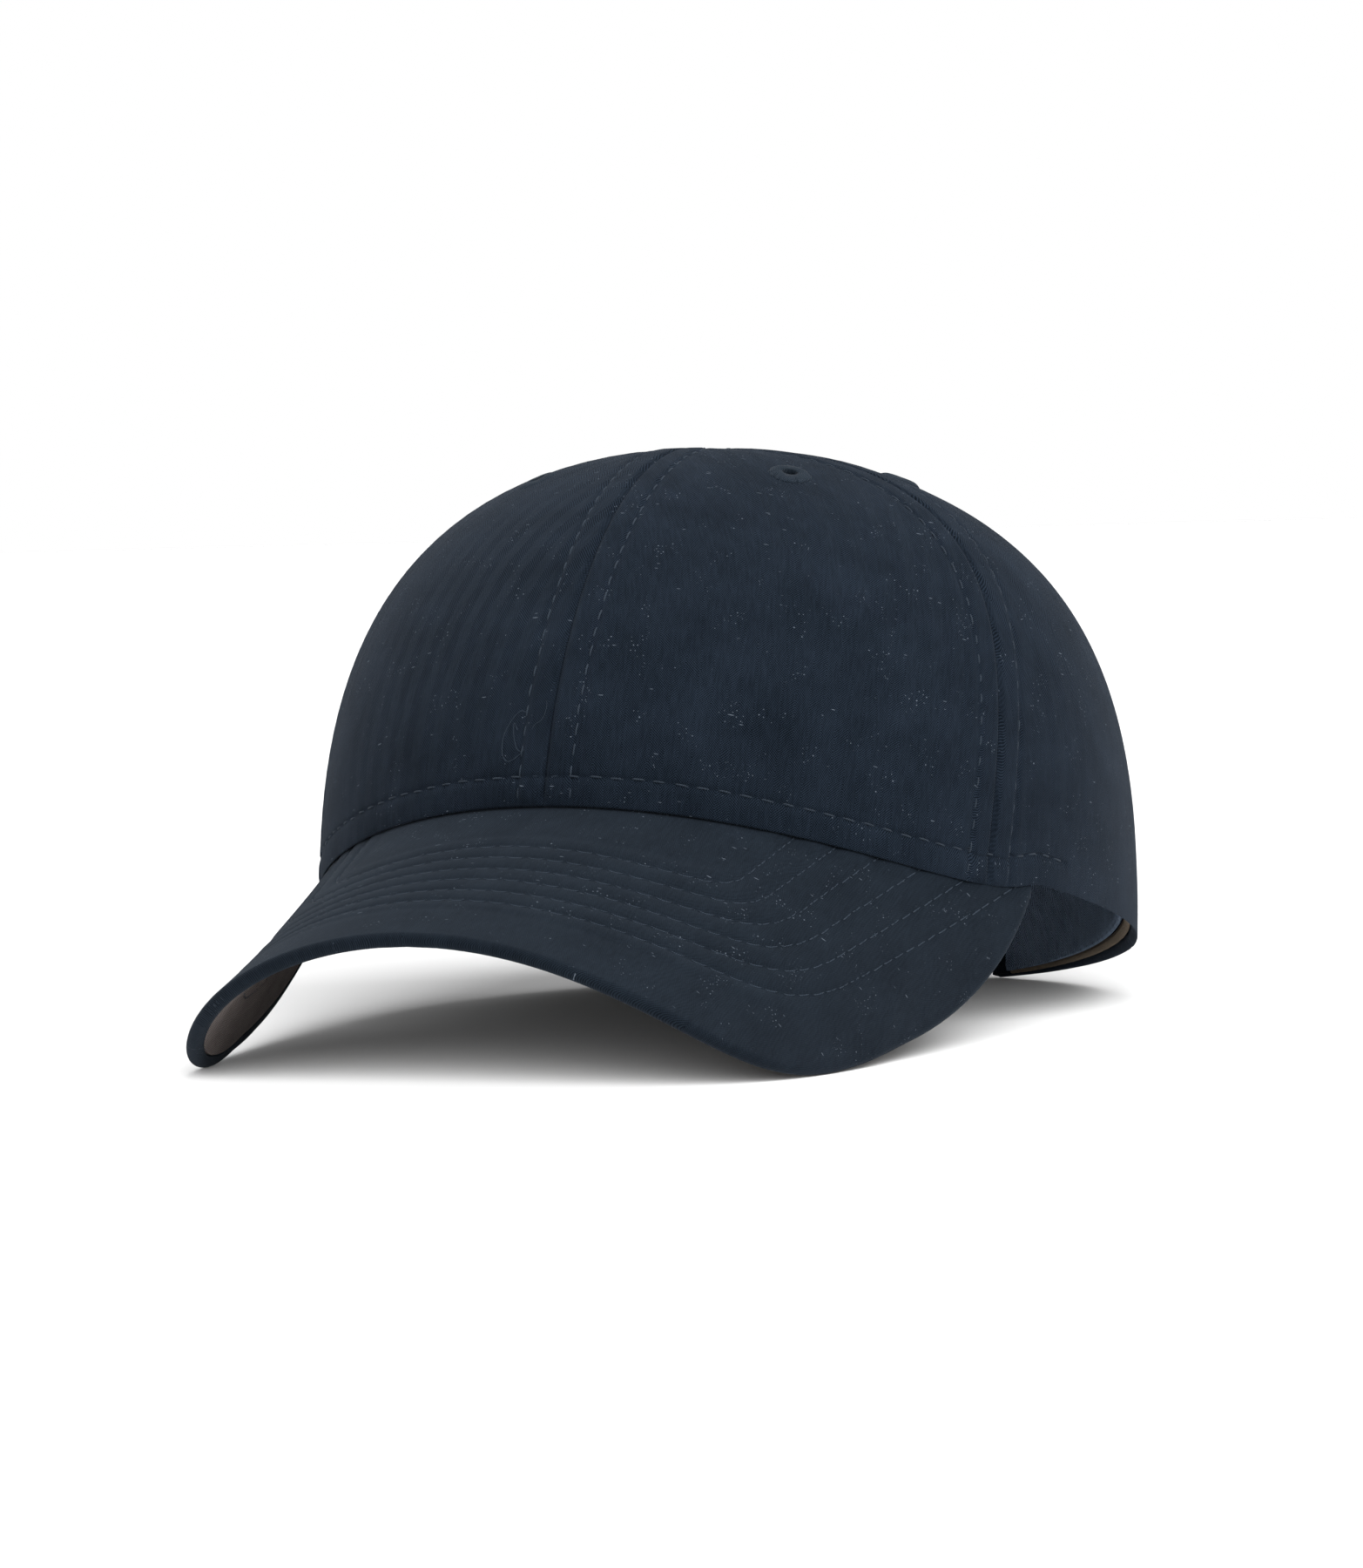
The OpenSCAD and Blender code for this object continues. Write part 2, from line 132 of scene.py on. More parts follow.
def hem_z(th, d):
    a = np.abs((np.asarray(th, float) + 180) % 360 - 180)
    s = np.maximum(a - VISOR_END, 0) / (180 - VISOR_END)
    end = visor_hem_z(np.full_like(a, VISOR_END), d)
    back = (2 * s**3 - 3 * s**2 + 1) * end + (s**3 - 2 * s**2 + s) * HEM_SLOPE
    return np.where(a <= VISOR_END, visor_hem_z(np.minimum(a, VISOR_END), d), back)


def crown_pt(th, ph, d):
    th, ph, d = (np.asarray(q, float) for q in np.broadcast_arrays(th, ph, d))
    x, y = hem_xy(th, d)
    z = hem_z(th, d)
    r = np.maximum(cosd(ph), 0) ** mix3(LEAN, th)
    return points(x * r, -TOP_Y + (y + TOP_Y) * r,
                  z + (CROWN_H - d - z) * np.maximum(sind(ph), 0) ** mix3(RISE, th))


def crown_normal(th, ph, d=0.0):
    ph = np.clip(ph, 0.5, 89.2)
    return unit(np.cross(crown_pt(th + 0.4, ph, d) - crown_pt(th - 0.4, ph, d),
                         crown_pt(th, ph + 0.4, d) - crown_pt(th, ph - 0.4, d)))


def rise_at(th, h, d):
    share = np.clip(h / (CROWN_H - d - hem_z(th, d)), 0, 1)
    return np.degrees(np.arcsin(share ** (1 / mix3(RISE, th))))


def wall_pt(th, h, d):
    return crown_pt(th, rise_at(th, h, d), d)


def hem_th(x):
    return 180 - np.degrees(np.arcsin(np.asarray(x, float) / HALF_W))


def strap_pt(th, h, d):
    low, high = wall_pt(th, STRAP_LOW, d), wall_pt(th, STRAP_LOW + STRAP_H, d)
    return low + (high - low) * ((h - STRAP_LOW) / STRAP_H)[..., None]


def front_seam(ph):
    return SEAM_HEM + (SEAM_TOP - SEAM_HEM) * sind(ph)


def visor_edge(t):
    a = np.minimum(np.abs(t) / 0.8, 1) * 90
    w = np.maximum((np.abs(t) - 0.8) / 0.2, 0)
    om = np.where(w > 0, WRAP + (TIP_OM - WRAP) * w * w, WRAP * sind(a) ** (2 / SQUARE))
    v = np.where(w > 0, WIDE_V + (TIP_V - WIDE_V) * w,
                 WIDE_V + (VISOR_LEN - WIDE_V) * np.maximum(cosd(a), 0) ** (2 / SQUARE))
    return np.sign(t) * om, v


TIP_OM, TIP_V = (float(q[0]) for q in visor_at(*hem_xy(np.array([VISOR_END]), 0)))
WIDE_V = TIP_V + END_RUN
ARCH_TOP_W = ARCH_HALF - ARCH_TAPER


def arch_edge_h(x):
    """Height of the rear arch's edge above the hem at x, or 0 beside the arch."""
    x = np.abs(x)
    side = ARCH_SIDE * (ARCH_HALF - x) / ARCH_TAPER
    top = ARCH_SIDE + (ARCH_H - ARCH_SIDE) * np.sqrt(np.maximum(1 - (x / ARCH_TOP_W) ** 2, 0))
    return np.where(x > ARCH_HALF, 0, np.where(x > ARCH_TOP_W, side, top))


def arch_pt(s, grow):
    side, a = (1 - np.abs(s)) / 0.25, s * 120
    x = np.where(side < 1, np.sign(s) * (ARCH_HALF + grow - ARCH_TAPER * side), (ARCH_TOP_W + grow) * sind(a))
    h = np.where(side < 1, ARCH_SIDE * side, ARCH_SIDE + (ARCH_H - ARCH_SIDE + grow) * cosd(a))
    return x, h


# ---------------------------------------------------------------- mesh makers
def place(p):
    """Cap frame in mm to the row frame in metres: the cap tips forwards onto its visor."""
    x, y, z = np.moveaxis(np.asarray(p, float), -1, 0)
    c, s = cosd(TILT), sind(TILT)
    return np.stack([x, y * c + z * s + ORIGIN_Y, z * c - y * s + ORIGIN_Z], -1) / 1000


def build(name, verts, faces, uv, mat, body, slot, nodes=(), merge=0.0, sharp=50):
    mesh = bpy.data.meshes.new(name)
    mesh.from_pydata(place(verts).tolist(), [], faces)
    layer = mesh.uv_layers.new(name="mm")
    loops = np.empty(len(mesh.loops), np.int32)
    mesh.loops.foreach_get("vertex_index", loops)
    layer.data.foreach_set("uv", np.asarray(uv, np.float32)[loops].ravel())
    bm = bmesh.new()
    bm.from_mesh(mesh)
    if merge:
        bmesh.ops.remove_doubles(bm, verts=bm.verts, dist=merge / 1000)
    bmesh.ops.recalc_face_normals(bm, faces=bm.faces)
    bm.to_mesh(mesh)
    bm.free()
    mesh.polygons.foreach_set("use_smooth", np.ones(len(mesh.polygons), bool))
    mesh.set_sharp_from_angle(angle=math.radians(sharp))
    obj = bpy.data.objects.new(name, mesh)
    bpy.context.scene.collection.objects.link(obj)
    mesh.materials.append(mat)
    if body:
        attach(obj, body)
    if nodes:
        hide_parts(*nodes)
    return obj


def shell(name, outer, inner, uv, *more, **kw):
    """Closed solid between two grids of points."""
    rows, cols = outer.shape[:2]
    n = rows * cols
    i = np.arange(n).reshape(rows, cols)
    top = np.stack([i[:-1, :-1], i[:-1, 1:], i[1:, 1:], i[1:, :-1]], -1).reshape(-1, 4)
    rim = np.concatenate([i[0], i[1:, -1], i[-1, -2::-1], i[-2:0:-1, 0]])
    after = np.roll(rim, -1)
    faces = np.concatenate([top, top[:, ::-1] + n, np.stack([rim, rim + n, after + n, after], -1)])
    verts = np.concatenate([outer.reshape(-1, 3), inner.reshape(-1, 3)])
    flat = uv.reshape(-1, 2)
    return build(name, verts, faces.tolist(), np.concatenate([flat, flat]), *more, **kw)


def loft(name, rings, uv, *more, loop=False, **kw):
    """Solid through rings of points; the path closes on itself if loop is set."""
    k, m = rings.shape[:2]
    i = np.arange(k * m).reshape(k, m)
    a, b = (i, np.roll(i, -1, 0)) if loop else (i[:-1], i[1:])
    faces = np.stack([a, np.roll(a, -1, 1), np.roll(b, -1, 1), b], -1).reshape(-1, 4).tolist()
    if not loop:
        faces += [i[0, ::-1].tolist(), i[-1].tolist()]
    return build(name, rings.reshape(-1, 3), faces, uv.reshape(-1, 2), *more, **kw)


def along(p):
    """Running length along the first axis of a grid of points."""
    step = np.linalg.norm(np.diff(p, axis=0), axis=-1)
    return np.concatenate([np.zeros_like(step[:1]), np.cumsum(step, 0)])


def thread(name, runs, mat, body, seed, pitch=4.4, length=3.0, r=0.2, slot="thread"):
    """Rows of sewn stitches: each run is (points, normals), and each stitch dives in at its ends."""
    rng = np.random.default_rng(seed)
    t = np.linspace(0, 1, 8)
    swell = np.array([0.35, 0.85, 1, 1, 1, 1, 0.85, 0.35])
    ring = np.linspace(0, 2 * np.pi, 9)[:-1]
    verts, faces, uvs = [], [], []
    for pts, nrm in runs:
        s = along(pts)
        count = max(int(s[-1] / pitch), 1)
        start = (np.arange(count) + 0.5) * s[-1] / count - length / 2 + rng.normal(0, 0.1, count)
        at = start[:, None] + t * (length * (1 + rng.normal(0, 0.05, count)))[:, None]
        p = np.stack([np.interp(at, s, pts[:, j]) for j in range(3)], -1)
        n = unit(np.stack([np.interp(at, s, nrm[:, j]) for j in range(3)], -1))
        along_t = unit(np.gradient(p, axis=1))
        side = unit(np.cross(along_t, n))
        slant = rng.normal(0, 0.09, (count, 1)) + (t - 0.5) * rng.normal(0.12, 0.08, (count, 1))
        lift = r * (-1.3 + 1.95 * np.sin(np.pi * np.clip(t, 0.01, 0.99)) ** 0.5)
        centre = p + side * slant[..., None] + n * lift[None, :, None]
        for a in ring:
            verts.append(centre + (n * math.cos(a) + side * math.sin(a)) * (r * swell)[None, :, None])
            uvs.append(points(at, a * r, 0)[..., :2])
        k = len(ring)
        block = np.stack(verts[-k:], 2)
        verts[-k:] = [block.reshape(-1, 3)]
        uvs[-k:] = [np.stack(uvs[-k:], 2).reshape(-1, 2)]
        i = np.arange(count * 8 * k).reshape(count, 8, k) + sum(len(v) for v in verts[:-1])
        quads = np.stack([i[:, :-1], np.roll(i[:, :-1], -1, 2), np.roll(i[:, 1:], -1, 2), i[:, 1:]], -1)
        faces += quads.reshape(-1, 4).tolist() + i[:, 0, ::-1].tolist() + i[:, -1].tolist()
    return build(name, np.concatenate(verts), faces, np.concatenate(uvs), mat, body, slot, sharp=80)


def fibre(path, r, sides=6, steps=60):
    """Round strand along a smooth path through points."""
    path = np.asarray(path, float)
    s = np.linspace(0, len(path) - 1, steps)
    k = np.clip(s.astype(int), 0, len(path) - 2)
    f = (s - k)[:, None]
    grow = np.gradient(path, axis=0)
    p = ((2 * f**3 - 3 * f**2 + 1) * path[k] + (f**3 - 2 * f**2 + f) * grow[k]
         + (3 * f**2 - 2 * f**3) * path[k + 1] + (f**3 - f**2) * grow[k + 1])
    t = unit(np.gradient(p, axis=0))
    n = unit(np.cross(t, np.array([0.31, 0.17, 0.93])))
    b = np.cross(t, n)
    a = np.linspace(0, 2 * np.pi, sides + 1)[:-1]
    return p[:, None] + r * (n[:, None] * np.cos(a)[None, :, None] + b[:, None] * np.sin(a)[None, :, None])


# ---------------------------------------------------------------- materials
def linear(rgb):
    """Colour in 0 to 255 steps to the shader's linear values."""
    return tuple((c / 255 / 12.92 if c <= 10 else ((c / 255 + 0.055) / 1.055) ** 2.4) for c in rgb) + (1,)


class Graph:
    """A material's nodes, written as short sums."""

    def __init__(self, name, rough=0.9, specular=0.1, sheen=0.0, sheen_rough=0.4, sheen_tint=(255, 255, 255)):
        self.mat = bpy.data.materials.new(name)
        self.mat.use_nodes = True
        self.tree = self.mat.node_tree
        self.shader = self.tree.nodes["Principled BSDF"]
        self.put(self.shader, "Roughness", rough)
        self.put(self.shader, "Specular IOR Level", specular)
        self.put(self.shader, "Sheen Weight", sheen)
        self.put(self.shader, "Sheen Roughness", sheen_rough)
        self.shader.inputs["Sheen Tint"].default_value = linear(sheen_tint)
        uv = self.node("ShaderNodeUVMap")
        uv.uv_map = "mm"
        self.uv = uv.outputs[0]
        split = self.node("ShaderNodeSeparateXYZ", Vector=self.uv)
        self.u, self.v = split.outputs[0], split.outputs[1]

    def put(self, node, key, value):
        if isinstance(value, bpy.types.NodeSocket):
            self.tree.links.new(value, node.inputs[key])
        elif value is not None:
            node.inputs[key].default_value = value

    def node(self, kind, **inputs):
        node = self.tree.nodes.new(kind)
        for key, value in inputs.items():
            self.put(node, key.replace("_", " "), value)
        return node

    def math(self, op, a, b=None, c=None):
        node = self.tree.nodes.new("ShaderNodeMath")
        node.operation = op
        for i, value in enumerate((a, b, c)):
            self.put(node, i, value)
        return node.outputs[0]

    def add(self, a, b):
        return self.math("ADD", a, b)

    def mul(self, a, b):
        return self.math("MULTIPLY", a, b)

    def wave(self, x, pitch):
        """0 to 1 and back each pitch."""
        return self.math("MULTIPLY_ADD", self.math("SINE", self.mul(x, 2 * math.pi / pitch)), 0.5, 0.5)

    def noise(self, size, detail=2.0, stretch=(1, 1), rough=0.55):
        """Noise with features about size mm across, stretched over the cloth."""
        spread = self.node("ShaderNodeMapping", Vector=self.uv)
        spread.inputs["Scale"].default_value = (1 / stretch[0], 1 / stretch[1], 1)
        return self.node("ShaderNodeTexNoise", Vector=spread.outputs[0], Scale=1 / size, Detail=detail,
                         Roughness=rough).outputs[0]

    def step(self, x, low, high):
        node = self.tree.nodes.new("ShaderNodeMapRange")
        node.interpolation_type = "SMOOTHSTEP"
        for i, value in enumerate((x, low, high, 0.0, 1.0)):
            self.put(node, i, value)
        return node.outputs[0]

    def ramp(self, x, a, b):
        node = self.tree.nodes.new("ShaderNodeMix")
        node.data_type = "RGBA"
        self.put(node, 0, x)
        for i, value in ((6, a), (7, b)):
            self.put(node, i, value if isinstance(value, bpy.types.NodeSocket) else linear(value))
        return node.outputs[2]

    def finish(self, colour, height, depth, rough=None):
        """depth is the full height of the bump, in mm."""
        self.put(self.shader, "Base Color", colour)
        bump = self.node("ShaderNodeBump", Height=height, Distance=depth / 1000, Strength=1.0)
        self.put(self.shader, "Normal", bump.outputs[0])
        if rough is not None:
            self.put(self.shader, "Roughness", rough)
        return self.mat


def twill(name, dark, light, pitch=0.52, column=2.9, slope=1.0, depth=0.1, lint=0.6, lint_rgb=(120, 130, 142),
          **shader):
    """Herringbone twill: diagonal ribs that turn back at every column."""
    g = Graph(name, **shader)
    sway = g.math("MULTIPLY_ADD", g.noise(9), 1.6, -0.8)
    u = g.add(g.u, sway)
    fold = g.math("PINGPONG", u, column)
    phase = g.add(g.mul(fold, slope), g.v)
    rib = g.wave(g.add(phase, g.mul(g.noise(1.6), 0.35)), pitch)
    floats = g.wave(g.add(g.mul(fold, -slope * 1.7), g.v), pitch * 1.6)
    fuzz = g.noise(0.28, 3.0, rough=0.7)
    blotch = g.noise(14, 3.0)
    slub = g.noise(0.5, 2.0, stretch=(1, 9))
    height = g.add(g.add(g.mul(rib, 0.55), g.mul(floats, 0.2)), g.mul(fuzz, 0.5))
    # Colour follows the weave's height: darker in the low gaps between yarns and lighter on their raised
    # tops. This is painted shade and light at yarn scale, mixed with the cloth's own uneven tone from blotch
    # and slub.
    tone = g.add(g.mul(height, 0.75), g.mul(g.add(blotch, slub), 0.32))
    shade = g.step(tone, 0.45, 1.25)
    colour = g.ramp(shade, dark, light)
    rare = g.step(g.noise(6.3, 0.0), 0.60, 0.66)
    specks = g.mul(g.step(g.noise(0.45, 0.0), 0.74, 0.80), rare)
    hairs = g.mul(g.step(g.noise(0.35, 0.0, stretch=(6, 1)), 0.80, 0.84),
                  g.step(g.noise(7.9, 0.0), 0.55, 0.6))
    colour = g.ramp(g.mul(g.math("MAXIMUM", specks, hairs), lint), colour, lint_rgb)
    return g.finish(colour, height, depth, g.math("MULTIPLY_ADD", fuzz, 0.2, 0.78))


def plain_weave(name, dark, light, pitch=0.6, depth=0.1, hole=False, **shader):
    """Plain weave, or an open mesh if hole is set."""
    g = Graph(name, **shader)
    warp, weft = g.wave(g.u, pitch), g.wave(g.v, pitch)
    over = g.math("MAXIMUM", warp, weft) if hole else g.wave(g.add(g.u, g.v), pitch)
    height = g.add(g.mul(over, 0.7), g.mul(g.noise(0.3, 3.0), 0.5))
    colour = g.ramp(g.step(g.add(height, g.mul(g.noise(8), 0.3)), 0.4, 1.3), dark, light)
    return g.finish(colour, height, depth)


def thread_mat(name, dark, light):
    """Two-ply sewing thread."""
    g = Graph(name, rough=0.7, specular=0.06, sheen=0.06)
    ply = g.wave(g.add(g.u, g.mul(g.v, 0.9)), 0.42)
    height = g.add(g.mul(ply, 0.8), g.mul(g.noise(0.1, 2.0), 0.3))
    colour = g.ramp(g.step(g.add(height, g.mul(g.noise(5), 0.5)), 0.35, 1.4), dark, light)
    return g.finish(colour, height, 0.05)


def grain_mat(name, dark, light, size, depth, **shader):
    """Fine grain, with features about size mm across."""
    g = Graph(name, **shader)
    fine = g.noise(size, 4.0)
    colour = g.ramp(g.step(g.add(fine, g.mul(g.noise(size * 14), 0.5)), 0.45, 1.1), dark, light)
    return g.finish(colour, fine, depth)


CLOTH = twill("navy_twill", (4, 9, 15), (38, 47, 59), lint=0.5, specular=0.03, sheen=0.06,
              sheen_tint=(200, 215, 235))
VISOR_CLOTH = twill("navy_visor_twill", (9, 14, 20), (34, 42, 51), pitch=0.46, column=60, depth=0.07,
                    lint=0.5, specular=0.03, sheen=0.06, sheen_tint=(200, 215, 235))
# The underside cloth's lighter, warm grey-brown colour is painted warm light bounced up from below onto the
# visor's underside.
UNDER_CLOTH_PAINTED_WARM_LIGHT = twill("visor_underside_twill_painted_warm_light", (60, 55, 54), (124, 116, 114), pitch=0.5, column=70, depth=0.07,
                    lint=0.3, specular=0.03, sheen=0.06, sheen_tint=(235, 220, 205))
BAND_CLOTH = twill("sweatband_herringbone", (34, 46, 60), (146, 164, 188), pitch=0.62, column=1.9, depth=0.16,
                   lint=0.15, specular=0.05)
STRAP_CLOTH = twill("strap_twill", (7, 12, 18), (33, 41, 51), pitch=0.5, column=50, depth=0.08, lint=0.4,
                    specular=0.03, sheen=0.06, sheen_tint=(200, 215, 235))
THREAD = thread_mat("sewing_thread", (28, 36, 45), (62, 72, 84))
RIM_THREAD = thread_mat("eyelet_thread", (16, 24, 32), (48, 58, 69))
TAPE = plain_weave("seam_tape_weave", (16, 20, 26), (48, 54, 62), pitch=0.55)
BUCKRAM = plain_weave("buckram_mesh", (20, 23, 27), (70, 74, 80), pitch=1.3, depth=0.22, hole=True, rough=0.7)
PIPING = plain_weave("piping_weave", (70, 62, 54), (150, 136, 118), pitch=0.5, depth=0.1)
HOOKS = grain_mat("hook_tape", (14, 16, 20), (40, 43, 48), 0.5, 0.1, rough=0.45, specular=0.4)
LOOPS = grain_mat("loop_tape", (16, 19, 24), (54, 59, 66), 0.25, 0.2, rough=0.95, sheen=0.4)
BOARD = grain_mat("board_plastic", (28, 30, 34), (44, 46, 50), 0.8, 0.03, rough=0.5, specular=0.4)


# ---------------------------------------------------------------- crown panels
STITCH_OFF = 5.8     # distance of the topstitching from a seam
HEM_ROW = 6.4        # height of the stitch row above the crown's front hem
HEM_ROW_END = 77.5   # angle at which that row ends
HEM_R = 0.75         # radius of the rolled hem
NEAR_SEAM = [0.06, 0.3, 0.55, 0.85, 1.25, 1.8, 2.5, 3.2, 3.9, 4.5, 5, 5.4, 5.8, 6.2, 6.7, 7.3, 8, 8.8, 9.6,
             10.4, 11.2, 12, 13, 14.5, 16.5]
TOP_PH = 89.85       # the panels' top row, just short of the crown's pole
# Columns of a back panel beside and over the rear arch, in mm from the centre line
ARCH_COLUMNS = [33.5, 32.2, 31.5, 31.02, 30.98, 30.7, 30.4, 30.1, 29.8, 29.5, 28.9, 28, 26.8, 25.4, 24, 22.5,
                21, 19.5, 18]
BESIDE_ARCH = 35.5


def seam_relief(s, g):
    """Outward step of the cloth at s mm from a seam, with all features shrunk by g."""
    q = s / g
    return g * (-0.85 * bell(q, 0.62) + 0.34 * (1 - smooth((q - 4.9) / 1.5))
                - 0.3 * bell(q - STITCH_OFF, 0.55) + 0.1 * bell(q - 7.6, 1.3))


def panel(name, side, seam_a, seam_b, eyelet_th, seed, arch=False):
    """One panel from seam to seam: rolled hem, relief along its seams, and the eyelet's hole."""
    rng = np.random.default_rng(seed)
    width = float(np.sum(np.linalg.norm(np.diff(crown_pt(
        np.linspace(seam_a(0.0), seam_b(0.0), 60), 3.0, 0), axis=0), axis=-1)))
    near = np.array(NEAR_SEAM)
    if arch:
        by_arch, over_arch, by_centre = ((hem_th(x) - BACK_SEAM) / (180 - BACK_SEAM)
                                         for x in (BESIDE_ARCH, ARCH_COLUMNS, near[::-1]))
        low = np.linspace(near[-1] / width, float(by_arch), 12)
        f = np.concatenate([near / width, low[1:], over_arch, by_centre])
    else:
        middle = np.linspace(near[-1] / width, 1 - near[-1] / width, 30)[1:-1]
        f = np.concatenate([near / width, middle, 1 - near[::-1] / width])

    def angle(ph):
        return seam_a(ph) + (seam_b(ph) - seam_a(ph)) * f

    base = arch_edge_h(HALF_W * sind(angle(0.0))) if arch else np.zeros_like(f)
    roll = np.where(base > 0, 0.02, HEM_R)
    turns = np.radians(np.linspace(180, 0, 10))
    path = [(roll * (1 - np.sin(b)), roll * (1 - np.cos(b)),
             roll * (1 - 0.2 * np.sin(b)) + 0.3, roll * (1 - 0.2 * np.cos(b))) for b in turns]
    lifts = [1.4, 2.2, 3, 3.8, 4.6, 5.2, 5.7, 6.1, 6.5, 6.9, 7.4, 8.1, 9, 10, 11.2]
    path += [(q + 0 * roll, 0 * roll, q + 0 * roll, 0 * roll + PANEL_T) for q in lifts]
    path = [(a, b, c, np.where(base > 0, PANEL_T, d)) for a, b, c, d in path]
    out_ph, in_ph, out_d, in_d = [], [], [], []
    for e_out, d_out, e_in, d_in in path:
        th = angle(0.0)
        for _ in range(3):
            ph = rise_at(th, base + e_out, 0)
            th = angle(ph)
        out_ph.append(ph)
        in_ph.append(rise_at(th, base + e_in, 0))
        out_d.append(d_out)
        in_d.append(d_in)
    # above the hem the rows stand about evenly along each column
    dense = out_ph[-1] + (TOP_PH - out_ph[-1]) * np.linspace(0, 1, 160)[:, None] ** 0.9
    grid = crown_pt(np.array([angle(p) for p in dense]), dense, 0)
    run = along(grid)
    count = 84
    for k in range(1, count + 1):
        target = run[-1] * k / count
        ph = np.array([np.interp(target[j], run[:, j], dense[:, j]) for j in range(len(f))])
        out_ph.append(ph)
        in_ph.append(ph)
        out_d.append(0 * ph)
        in_d.append(0 * ph + PANEL_T)
    out_ph, in_ph, out_d, in_d = (np.array(q) for q in (out_ph, in_ph, out_d, in_d))
    th = np.array([angle(p) for p in out_ph])
    flat = crown_pt(th, out_ph, 0)
    across = along(np.swapaxes(flat, 0, 1)).T
    row_w = across[:, -1:]
    up = along(flat)
    height = flat[..., 2] - hem_z(th, 0)
    g = np.clip(row_w / 22, 0.04, 1)
    s_a, s_b = across, row_w - across
    hem_row = 1 - smooth((np.abs(th) - HEM_ROW_END) / 1.5)
    relief = seam_relief(s_a, g) + seam_relief(s_b, g)
    hem_fold = 0.16 * (1 - smooth((height - 4.6) / 2))
    relief += (hem_fold - 0.26 * bell(height - HEM_ROW, 0.55)) * hem_row
    seam_pucker = bell(s_a / g - STITCH_OFF, 1.6) + bell(s_b / g - STITCH_OFF, 1.6)
    relief += 0.05 * np.cos(2 * np.pi * up / 4.4) * seam_pucker * g
    relief += 0.05 * np.cos(2 * np.pi * across / 4.4) * bell(height - HEM_ROW, 1.6) * hem_row
    free = smooth((s_a / g - 6) / 14) * smooth((s_b / g - 6) / 14) * smooth((height - 7) / 16)
    swell = np.zeros_like(up)
    for _ in range(6):
        a, b, c = rng.uniform(0.03, 0.11), rng.uniform(0.02, 0.07), rng.uniform(0, 6.3)
        swell += np.sin(across * a * rng.choice([-1, 1]) + up * b + c) / 6
    relief += 0.75 * swell * free
    relief *= smooth(height / 3) if not arch else smooth((height - base) / 3)
    outer = crown_pt(side * th, out_ph, out_d - relief)
    inner = crown_pt(side * th, in_ph, in_d - relief * 0.6)
    uv = np.stack([across - row_w / 2 + 400 * (seed % 5), up + 37 * seed], -1)
    obj = shell(name + "_cloth", outer, inner, uv, CLOTH, "crown", "panels", nodes=[name], merge=0.03)
    # the eyelet's hole goes through the cloth
    bm = bmesh.new()
    hole_r = (EYELET_R - 1.9) / 1000
    bmesh.ops.create_cone(bm, cap_ends=True, segments=40, radius1=hole_r, radius2=hole_r, depth=0.009)
    cutter_mesh = bpy.data.meshes.new("cutter")
    bm.to_mesh(cutter_mesh)
    bm.free()
    cutter = bpy.data.objects.new("cutter", cutter_mesh)
    bpy.context.scene.collection.objects.link(cutter)
    centre, normal = eyelet_frame(side * eyelet_th)
    cutter.matrix_world = Matrix.Translation(centre) @ normal.to_track_quat("Z", "Y").to_matrix().to_4x4()
    cut = obj.modifiers.new("hole", "BOOLEAN")
    cut.operation, cut.object, cut.solver = "DIFFERENCE", cutter, "EXACT"
    bpy.context.view_layer.update()
    graph = bpy.context.evaluated_depsgraph_get()
    final = bpy.data.meshes.new_from_object(obj.evaluated_get(graph), depsgraph=graph)
    obj.modifiers.clear()
    obj.data = final
    bpy.data.objects.remove(cutter)


def eyelet_frame(th):
    """An eyelet's place on the crown and the way it faces, in the frame's metres."""
    c = place(crown_pt(th, EYELET_RISE, 0))
    n = place(crown_pt(th, EYELET_RISE, 0) + crown_normal(np.array(float(th)), EYELET_RISE)) - c
    return Vector(c), Vector(n).normalized()


def eyelet(name, th, seed):
    """Thread wrapped round the hole, strand beside strand, from the outer face to the inner one."""
    rng = np.random.default_rng(seed)
    wraps, per = 58, 5
    a = np.linspace(0, 2 * np.pi, wraps * per + 1)[:-1]
    reach = np.repeat(rng.normal(0, 0.13, wraps), per)
    bulge = 0.11 * np.abs(np.sin(a * wraps / 2)) ** 0.7
    section = []
    for s in np.linspace(0, 1, 13):      # outer face, from its outer edge to the bore
        section.append((1 - s, -0.55 + 1.1 * math.sin(math.pi * min(s * 0.72 + 0.06, 1)) ** 0.7, 1 - s))
    for s in np.linspace(0, 1, 13)[1:]:  # inner face, from the bore back to its outer edge
        swell = math.sin(math.pi * min((1 - s) * 0.7 + 0.1, 1)) ** 0.7
        section.append((s * 0.9, -PANEL_T + 0.35 - 0.95 * swell, 0.5))
    th0 = np.array(float(th))
    n = crown_normal(th0, EYELET_RISE)
    e1 = unit(np.cross(np.array([0.0, 0.0, 1.0]), n))
    e2 = np.cross(n, e1)
    centre = crown_pt(th0, EYELET_RISE, 0)
    rings, uvs = [], []
    for i, (w, z, outer) in enumerate(section):
        r = EYELET_BORE + (EYELET_R - EYELET_BORE) * w + reach * outer * w
        r = r + bulge * 0.3 * (1 if i < 13 else -0.2)
        lift = z + bulge * (1 if i < 13 else -0.8)
        sag = -(r**2) / 150
        rings.append(centre + e1 * (r * np.cos(a))[:, None] + e2 * (r * np.sin(a))[:, None]
                     + n * (lift + sag)[:, None])
        uvs.append(np.stack([a * 3, np.full_like(a, i * 0.4)], -1))
    grid = np.stack(rings, 1)
    loft(name + "_thread", grid, np.stack(uvs, 1), RIM_THREAD, "crown", "thread", nodes=[name],
         loop=True, sharp=80)


def always(angle):
    """Seam that keeps one angle all the way up."""
    return lambda ph: angle + 0 * ph


